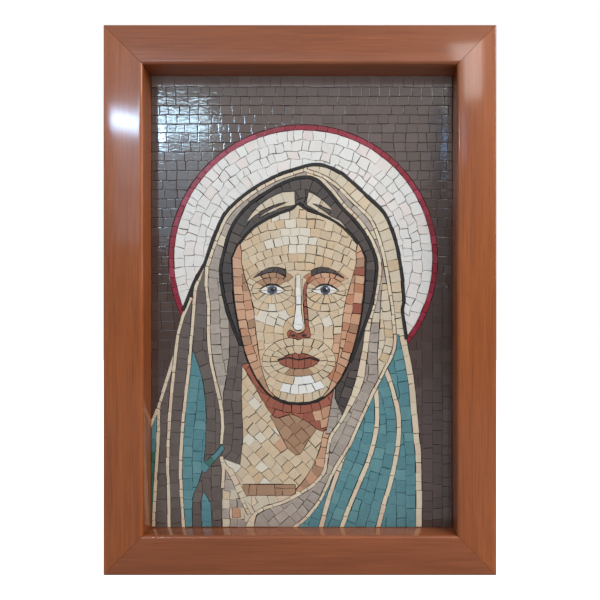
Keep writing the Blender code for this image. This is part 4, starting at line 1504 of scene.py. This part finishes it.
def grainy_material(name, base, spread, scale, roughness, bump_height):
    """A plain granular finish for the layers behind the picture."""
    material, tree, shader = new_material(name)
    place = node(tree, "ShaderNodeTexCoord").outputs["Object"]
    fine = noise(tree, place, scale, 4.0)
    broad = noise(tree, place, scale / 22, 3.0)
    light = maths(tree, "MULTIPLY", maths(tree, "MULTIPLY_ADD", fine, spread, 1 - spread / 2),
                  maths(tree, "MULTIPLY_ADD", broad, spread, 1 - spread / 2))
    lit = node(tree, "ShaderNodeVectorMath", {0: tuple(base), 3: light}, operation="SCALE")
    bump = node(tree, "ShaderNodeBump", {"Height": fine, "Distance": bump_height * MM})
    rough = maths(tree, "MULTIPLY_ADD", fine, 0.2, roughness - 0.1)
    link_shader(tree, shader, lit.outputs[0], rough, bump)
    return material


def dress(name, material):
    """Give a CAD node that keeps its own shape a better material."""
    for slot in frame["nodes"][name].material_slots:
        slot.material = material


def moulding_profile(panel):
    """The frame's section as (distance in from the outer edge, depth from the wall), in mm."""
    low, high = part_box("top_rail")
    board_low, board_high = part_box("backing_board")
    width = (high.z - low.z) / MM
    depth = (high.y - low.y) / MM
    outer = panel.frame.outer_round / MM
    lip = panel.frame.lip_round / MM
    rebate = (board_high.z - low.z) / MM + panel.frame.clearance / MM
    shelf = -board_low.y / MM + panel.frame.clearance / MM
    profile = [(0.0, 0.0)]
    profile += [tuple(p) for p in arc((outer, depth - outer), outer, outer, 180, 90, 14)]
    profile += [tuple(p) for p in arc((width - lip, depth - lip), lip, lip, 90, 0, 12)]
    profile += [(width, shelf), (width - rebate, shelf), (width - rebate, 0.0)]
    return profile


# How far apart in one long grain two members are cut, along it and across it, and where their
# ends are cut from it, all in metres
ALONG_THE_GRAIN = 1.37
ACROSS_THE_GRAIN = 0.71
END_GRAIN = 3.0
# The ends show the grain drawn out less than the sides do
END_STRETCH = 0.2
SHARP_ANGLE = 28.0


def member_corners(number, profile, settings):
    """Corners of one member, and how far along the grain each lies.

    The section is set out four times: eased and whole at one end, whole and eased at the other.
    """
    half_length, half_across = CAD_BOX[1][0] / MM, CAD_BOX[1][2] / MM
    if number % 2:
        half_length, half_across = half_across, half_length
    arris = settings.arris / MM
    gap = settings.mitre_gap / MM / math.sqrt(2)
    eased_profile = drawn_in(profile, -arris)
    corners, reaches = [], []
    for side, section, setback in ((-1, eased_profile, gap), (-1, profile, gap + arris),
                                   (1, profile, gap + arris), (1, eased_profile, gap)):
        for inward, depth in section:
            along, across = side * (half_length - inward - setback), half_across - inward
            reaches.append(along * MM + ALONG_THE_GRAIN * number)
            for _ in range(number):
                along, across = across, -along
            corners.append((along * MM, -depth * MM, across * MM))
    return corners, reaches


def member_faces(number, profile, reaches):
    """Faces of one member, and the place in the grain of each of their corners."""
    count = len(profile)
    travelled = np.cumsum([0.0] + [math.hypot(*(end - start)) for start, end
                                   in zip(profile, profile[1:] + profile[:1])])
    faces, grain = [], []
    for first in (0, count, 2 * count):
        for i in range(count):
            j = (i + 1) % count
            faces.append((first + i, first + count + i, first + count + j, first + j))
            rise = [travelled[k] * MM + ACROSS_THE_GRAIN * number for k in (i, i, i + 1, i + 1)]
            grain += [(reaches[corner], across) for corner, across in zip(faces[-1], rise)]
    for face in (range(count), range(4 * count - 1, 3 * count - 1, -1)):
        faces.append(tuple(face))
        for corner in face:
            inward, depth = profile[corner % count]
            grain.append((inward * MM * END_STRETCH + number, depth * MM + END_GRAIN))
    return faces, grain


def frame_member(name, number, panel, material):
    """One mitred member: its section run along the panel's edge, with the grain lengthwise.

    The members are numbered clockwise from the top. Their ends lie along the mitres, with their
    edges eased.
    """
    profile = [np.array(point) for point in moulding_profile(panel)]
    corners, reaches = member_corners(number, profile, panel.frame)
    faces, grain = member_faces(number, profile, reaches)
    mesh = bpy.data.meshes.new(name)
    mesh.from_pydata(corners, [], faces)
    layer = mesh.uv_layers.new(name="UVMap")
    layer.data.foreach_set("uv", np.array(grain, np.float32).ravel())
    mesh.materials.append(material)
    mesh.shade_smooth()
    mesh.set_sharp_from_angle(angle=math.radians(SHARP_ANGLE))
    piece = bpy.data.objects.new(f"{name}_moulding", mesh)
    bpy.context.scene.collection.objects.link(piece)
    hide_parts(name)
    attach(piece, "root")


# The area lights: place, width and height in metres, the setting that gives the power, the share
# of it that this light has, and its tint
Lamp = namedtuple("Lamp", "name place size setting share tint")
WHITE = (1.0, 1.0, 1.0)
LAMPS = (
    Lamp("key", (1.2, -1.1, 1.3), (0.7, 0.6), "key", 1.0, WHITE),
    Lamp("fill", (-0.375, -2.8, 1.29), (2.15, 0.78), "fill", 1.0, (1.0, 0.95, 0.94)),
    Lamp("sheen", (0.924, -2.8, 1.68), (0.3, 0.4), "sheen", 1.0, (0.96, 0.9, 0.86)),
    Lamp("glint on the glass", (-0.95, -2.79, 1.336), (0.34, 0.12), "glint", 0.29,
         (0.55, 0.82, 1.0)),
    Lamp("glint on the frame", (-1.35, -2.79, 1.315), (0.46, 0.1), "glint", 1.1,
         (0.5, 0.72, 1.0)),
    Lamp("wide glint", (-1.16, -2.79, 0.89), (0.72, 0.71), "glint", 0.25, (0.5, 0.78, 1.0)),
    Lamp("side light", (1.4, -0.5, 0.5), (0.2, 0.7), "side_light", 1.0, WHITE),
    Lamp("narrow glint", (0.773, -2.8, 1.204), (0.052, 0.29), "glint", 0.03, (0.3, 0.55, 1.0)),
)
LIT_POINT = Vector((0.0, 0.0, 0.1))


def add_lamps(stage):
    """The area lights, all turned to one point on the panel."""
    for lamp in LAMPS:
        light = bpy.data.lights.new(lamp.name, "AREA")
        light.shape = "RECTANGLE"
        light.size, light.size_y = lamp.size
        light.energy = lamp.share * getattr(stage, lamp.setting)
        light.color = lamp.tint
        holder = bpy.data.objects.new(lamp.name, light)
        holder.location = lamp.place
        towards = LIT_POINT - Vector(lamp.place)
        holder.rotation_euler = towards.to_track_quat("-Z", "Y").to_euler()
        bpy.context.scene.collection.objects.link(holder)


# Half the floor's side, how far it lies under the panel, its two shades, as the camera sees it
# and as the frame and the glass mirror it, and how much of its own light the camera sees
FLOOR_HALF = 6.0
FLOOR_GAP = 0.5 * MM
FLOOR_SEEN = (0.95, 0.95, 0.95, 1.0)
FLOOR_MIRRORED = (0.4, 0.4, 0.42, 1.0)
FLOOR_GLOW = 0.7


def add_floor():
    """A pale floor that stays dim where the frame and the glass mirror it."""
    height = CAD_BOX[0][2] - FLOOR_GAP
    mesh = bpy.data.meshes.new("floor")
    mesh.from_pydata([(x * FLOOR_HALF, y * FLOOR_HALF, height)
                      for x, y in ((-1, -1), (1, -1), (1, 1), (-1, 1))], [], [(0, 1, 2, 3)])
    material, tree, shader = new_material("pale floor")
    seen = node(tree, "ShaderNodeLightPath").outputs["Is Camera Ray"]
    tree.links.new(mix(tree, seen, FLOOR_MIRRORED, FLOOR_SEEN), shader.inputs["Base Color"])
    tree.links.new(maths(tree, "MULTIPLY", seen, FLOOR_GLOW), shader.inputs["Emission Strength"])
    shader.inputs["Emission Color"].default_value = (*WHITE, 1.0)
    shader.inputs["Roughness"].default_value = 0.8
    mesh.materials.append(material)
    floor = bpy.data.objects.new("floor", mesh)
    bpy.context.scene.collection.objects.link(floor)


def set_world(stage):
    """White behind the panel, and a soft light that comes mostly from above."""
    world = bpy.data.worlds.new("studio")
    world.use_nodes = True
    tree = world.node_tree
    shade = tree.nodes["Background"]
    direction = node(tree, "ShaderNodeTexCoord").outputs["Generated"]
    height = node(tree, "ShaderNodeSeparateXYZ", {0: direction}).outputs["Z"]
    level = node(tree, "ShaderNodeMapRange",
                 {"Value": height, "From Min": -0.15, "From Max": 0.6, "To Min": stage.ground,
                  "To Max": stage.sky}, interpolation_type="SMOOTHSTEP").outputs[0]
    seen = node(tree, "ShaderNodeLightPath").outputs["Is Camera Ray"]
    level = maths(tree, "MULTIPLY_ADD", seen, maths(tree, "SUBTRACT", 1.0, level), level)
    shade.inputs["Color"].default_value = (*WHITE, 1.0)
    tree.links.new(level, shade.inputs["Strength"])
    bpy.context.scene.world = world


def add_camera(stage):
    """A camera that looks straight at the wall, from a little to the right and below."""
    camera = bpy.data.cameras.new("camera")
    camera.lens = stage.lens
    camera.sensor_width = 36.0
    camera.shift_x = stage.shift_x
    camera.shift_y = stage.shift_y
    holder = bpy.data.objects.new("camera", camera)
    holder.location = (stage.side, -stage.distance, -stage.drop)
    holder.rotation_euler = (math.radians(90), 0.0, 0.0)
    bpy.context.scene.collection.objects.link(holder)
    bpy.context.scene.camera = holder


class MOSAIC_OT_frame(bpy.types.Operator):
    """Build the four mitred members of the frame"""

    bl_idname = "mosaic_panel.frame"
    bl_label = "Frame Members"

    def execute(self, context):
        panel = context.scene.mosaic_panel
        # The rails take the darker copy of the wood, painted shade; the stiles take the light one
        woods = (wood_material("lacquered rail", panel.frame.rail_wood, panel.frame.dark_wood),
                 wood_material("lacquered stile", panel.frame.light_wood, panel.frame.dark_wood))
        for number, name in enumerate(("top_rail", "right_stile", "bottom_rail", "left_stile")):
            frame_member(name, number, panel, woods[number % 2])
        return {"FINISHED"}


class MOSAIC_OT_backing(bpy.types.Operator):
    """Finish the board and the setting bed behind the picture"""

    bl_idname = "mosaic_panel.backing"
    bl_label = "Backing"

    def execute(self, context):
        settings = context.scene.mosaic_panel.frame
        board = grainy_material("pressed board", settings.board, spread=0.35, scale=900.0,
                                roughness=0.75, bump_height=0.15)
        mortar = grainy_material("setting bed", settings.mortar, spread=0.6, scale=700.0,
                                 roughness=0.85, bump_height=0.4)
        dress("backing_board", board)
        dress("setting_bed", mortar)
        return {"FINISHED"}


class MOSAIC_OT_background(bpy.types.Operator):
    """Lay the rows of the ground"""

    bl_idname = "mosaic_panel.background"
    bl_label = "Ground"

    def execute(self, context):
        return lay_fields(context, ("background",))


class MOSAIC_OT_halo(bpy.types.Operator):
    """Lay the halo and its rim"""

    bl_idname = "mosaic_panel.halo"
    bl_label = "Halo"

    def execute(self, context):
        return lay_fields(context, ("halo_rim", "halo_field"))


class MOSAIC_OT_veil(bpy.types.Operator):
    """Lay the veil's bands and the drape on the right"""

    bl_idname = "mosaic_panel.veil"
    bl_label = "Veil"

    def execute(self, context):
        return lay_fields(context, ("veil_band_left", "veil_outer_band_right", "drape_fold_right",
                                    "drape_light_right", "drape_inner_right"))


class MOSAIC_OT_mantle_left(bpy.types.Operator):
    """Lay the mantle's folds on the left"""

    bl_idname = "mosaic_panel.mantle_left"
    bl_label = "Mantle, Left"

    def execute(self, context):
        return lay_fields(context, ("mantle_fold_outer", "mantle_edge", "mantle_fold_middle",
                                    "mantle_fold_inner", "mantle_fold_lower", "teal_fold_left",
                                    "teal_wedge"))


class MOSAIC_OT_mantle_right(bpy.types.Operator):
    """Lay the mantle's folds on the right"""

    bl_idname = "mosaic_panel.mantle_right"
    bl_label = "Mantle, Right"

    def execute(self, context):
        return lay_fields(context, ("teal_fold_outer", "teal_fold_third", "teal_fold_second",
                                    "teal_fold_first"))


class MOSAIC_OT_strips(bpy.types.Operator):
    """Lay the light strips along the folds"""

    bl_idname = "mosaic_panel.strips"
    bl_label = "Strips"

    def execute(self, context):
        return lay_fields(context, ("collar_trim", "inner_fold_strip", "second_fold_strip",
                                    "outer_fold_strip", "left_hem_strip", "teal_first_strip",
                                    "teal_second_strip", "teal_third_strip", "neck_fold_strip",
                                    "right_fold_strip", "right_hem_strip"))


class MOSAIC_OT_lines(bpy.types.Operator):
    """Lay the dark contour lines"""

    bl_idname = "mosaic_panel.lines"
    bl_label = "Contour Lines"

    def execute(self, context):
        return lay_fields(context, ("face_line", "lining_line", "veil_edge_line"))


class MOSAIC_OT_hair(bpy.types.Operator):
    """Lay the hair"""

    bl_idname = "mosaic_panel.hair"
    bl_label = "Hair"

    def execute(self, context):
        return lay_fields(context, ("hair", "hair_fall_left", "hair_fall_right",
                                    "light_locks_left", "light_locks_right"))


class MOSAIC_OT_face(bpy.types.Operator):
    """Lay the face with its eyes, brows, nose and lips"""

    bl_idname = "mosaic_panel.face"
    bl_label = "Face"

    def execute(self, context):
        return lay_fields(context, ("face", "cheek_right", "cheek_left", "nose_shade",
                                    "nose_light", "lips", "brow_right", "brow_left", "eye_right",
                                    "eye_left"))


class MOSAIC_OT_neck(bpy.types.Operator):
    """Lay the neck and the collar"""

    bl_idname = "mosaic_panel.neck"
    bl_label = "Neck and Collar"

    def execute(self, context):
        return lay_fields(context, ("neck", "neck_side", "neck_shadow", "throat", "neckband",
                                    "collar"))


class MOSAIC_OT_stage(bpy.types.Operator):
    """Set the floor, the lights and the camera"""

    bl_idname = "mosaic_panel.stage"
    bl_label = "Stage"

    def execute(self, context):
        stage = context.scene.mosaic_panel.stage
        add_floor()
        set_world(stage)
        add_lamps(stage)
        add_camera(stage)
        context.scene.view_settings.view_transform = "Standard"
        return {"FINISHED"}


class MOSAIC_PT_panel(bpy.types.Panel):
    """Lists the steps in their order"""

    bl_idname = "MOSAIC_PT_panel"
    bl_label = "Mosaic Panel"
    bl_space_type = "VIEW_3D"
    bl_region_type = "UI"
    bl_category = "Mosaic"

    def draw(self, context):
        for operator in OPERATORS:
            self.layout.operator(operator.bl_idname)
        for group in ("tesserae", "frame", "stones", "stage"):
            settings = getattr(context.scene.mosaic_panel, group)
            box = self.layout.box()
            for key in settings.__annotations__:
                box.prop(settings, key)


GROUPS = (TesseraSettings, StoneColours, FrameSettings, StageSettings, MosaicPanel)
OPERATORS = (MOSAIC_OT_frame, MOSAIC_OT_backing, MOSAIC_OT_background, MOSAIC_OT_halo,
             MOSAIC_OT_veil, MOSAIC_OT_mantle_left, MOSAIC_OT_mantle_right, MOSAIC_OT_strips,
             MOSAIC_OT_lines, MOSAIC_OT_hair, MOSAIC_OT_face, MOSAIC_OT_neck, MOSAIC_OT_stage)


def register():
    """Make the settings, the operators and the sidebar panel known to Blender."""
    for item in GROUPS + OPERATORS + (MOSAIC_PT_panel,):
        bpy.utils.register_class(item)
    bpy.types.Scene.mosaic_panel = PointerProperty(type=MosaicPanel)


def unregister():
    """Take them away again."""
    del bpy.types.Scene.mosaic_panel
    for item in reversed(GROUPS + OPERATORS + (MOSAIC_PT_panel,)):
        bpy.utils.unregister_class(item)


def main():
    """Lay the whole panel."""
    register()
    bpy.ops.mosaic_panel.frame()
    bpy.ops.mosaic_panel.backing()
    bpy.ops.mosaic_panel.background()
    bpy.ops.mosaic_panel.halo()
    bpy.ops.mosaic_panel.veil()
    bpy.ops.mosaic_panel.mantle_left()
    bpy.ops.mosaic_panel.mantle_right()
    bpy.ops.mosaic_panel.strips()
    bpy.ops.mosaic_panel.lines()
    bpy.ops.mosaic_panel.hair()
    bpy.ops.mosaic_panel.face()
    bpy.ops.mosaic_panel.neck()
    bpy.ops.mosaic_panel.stage()
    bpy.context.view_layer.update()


if __name__ == "__main__":
    main()
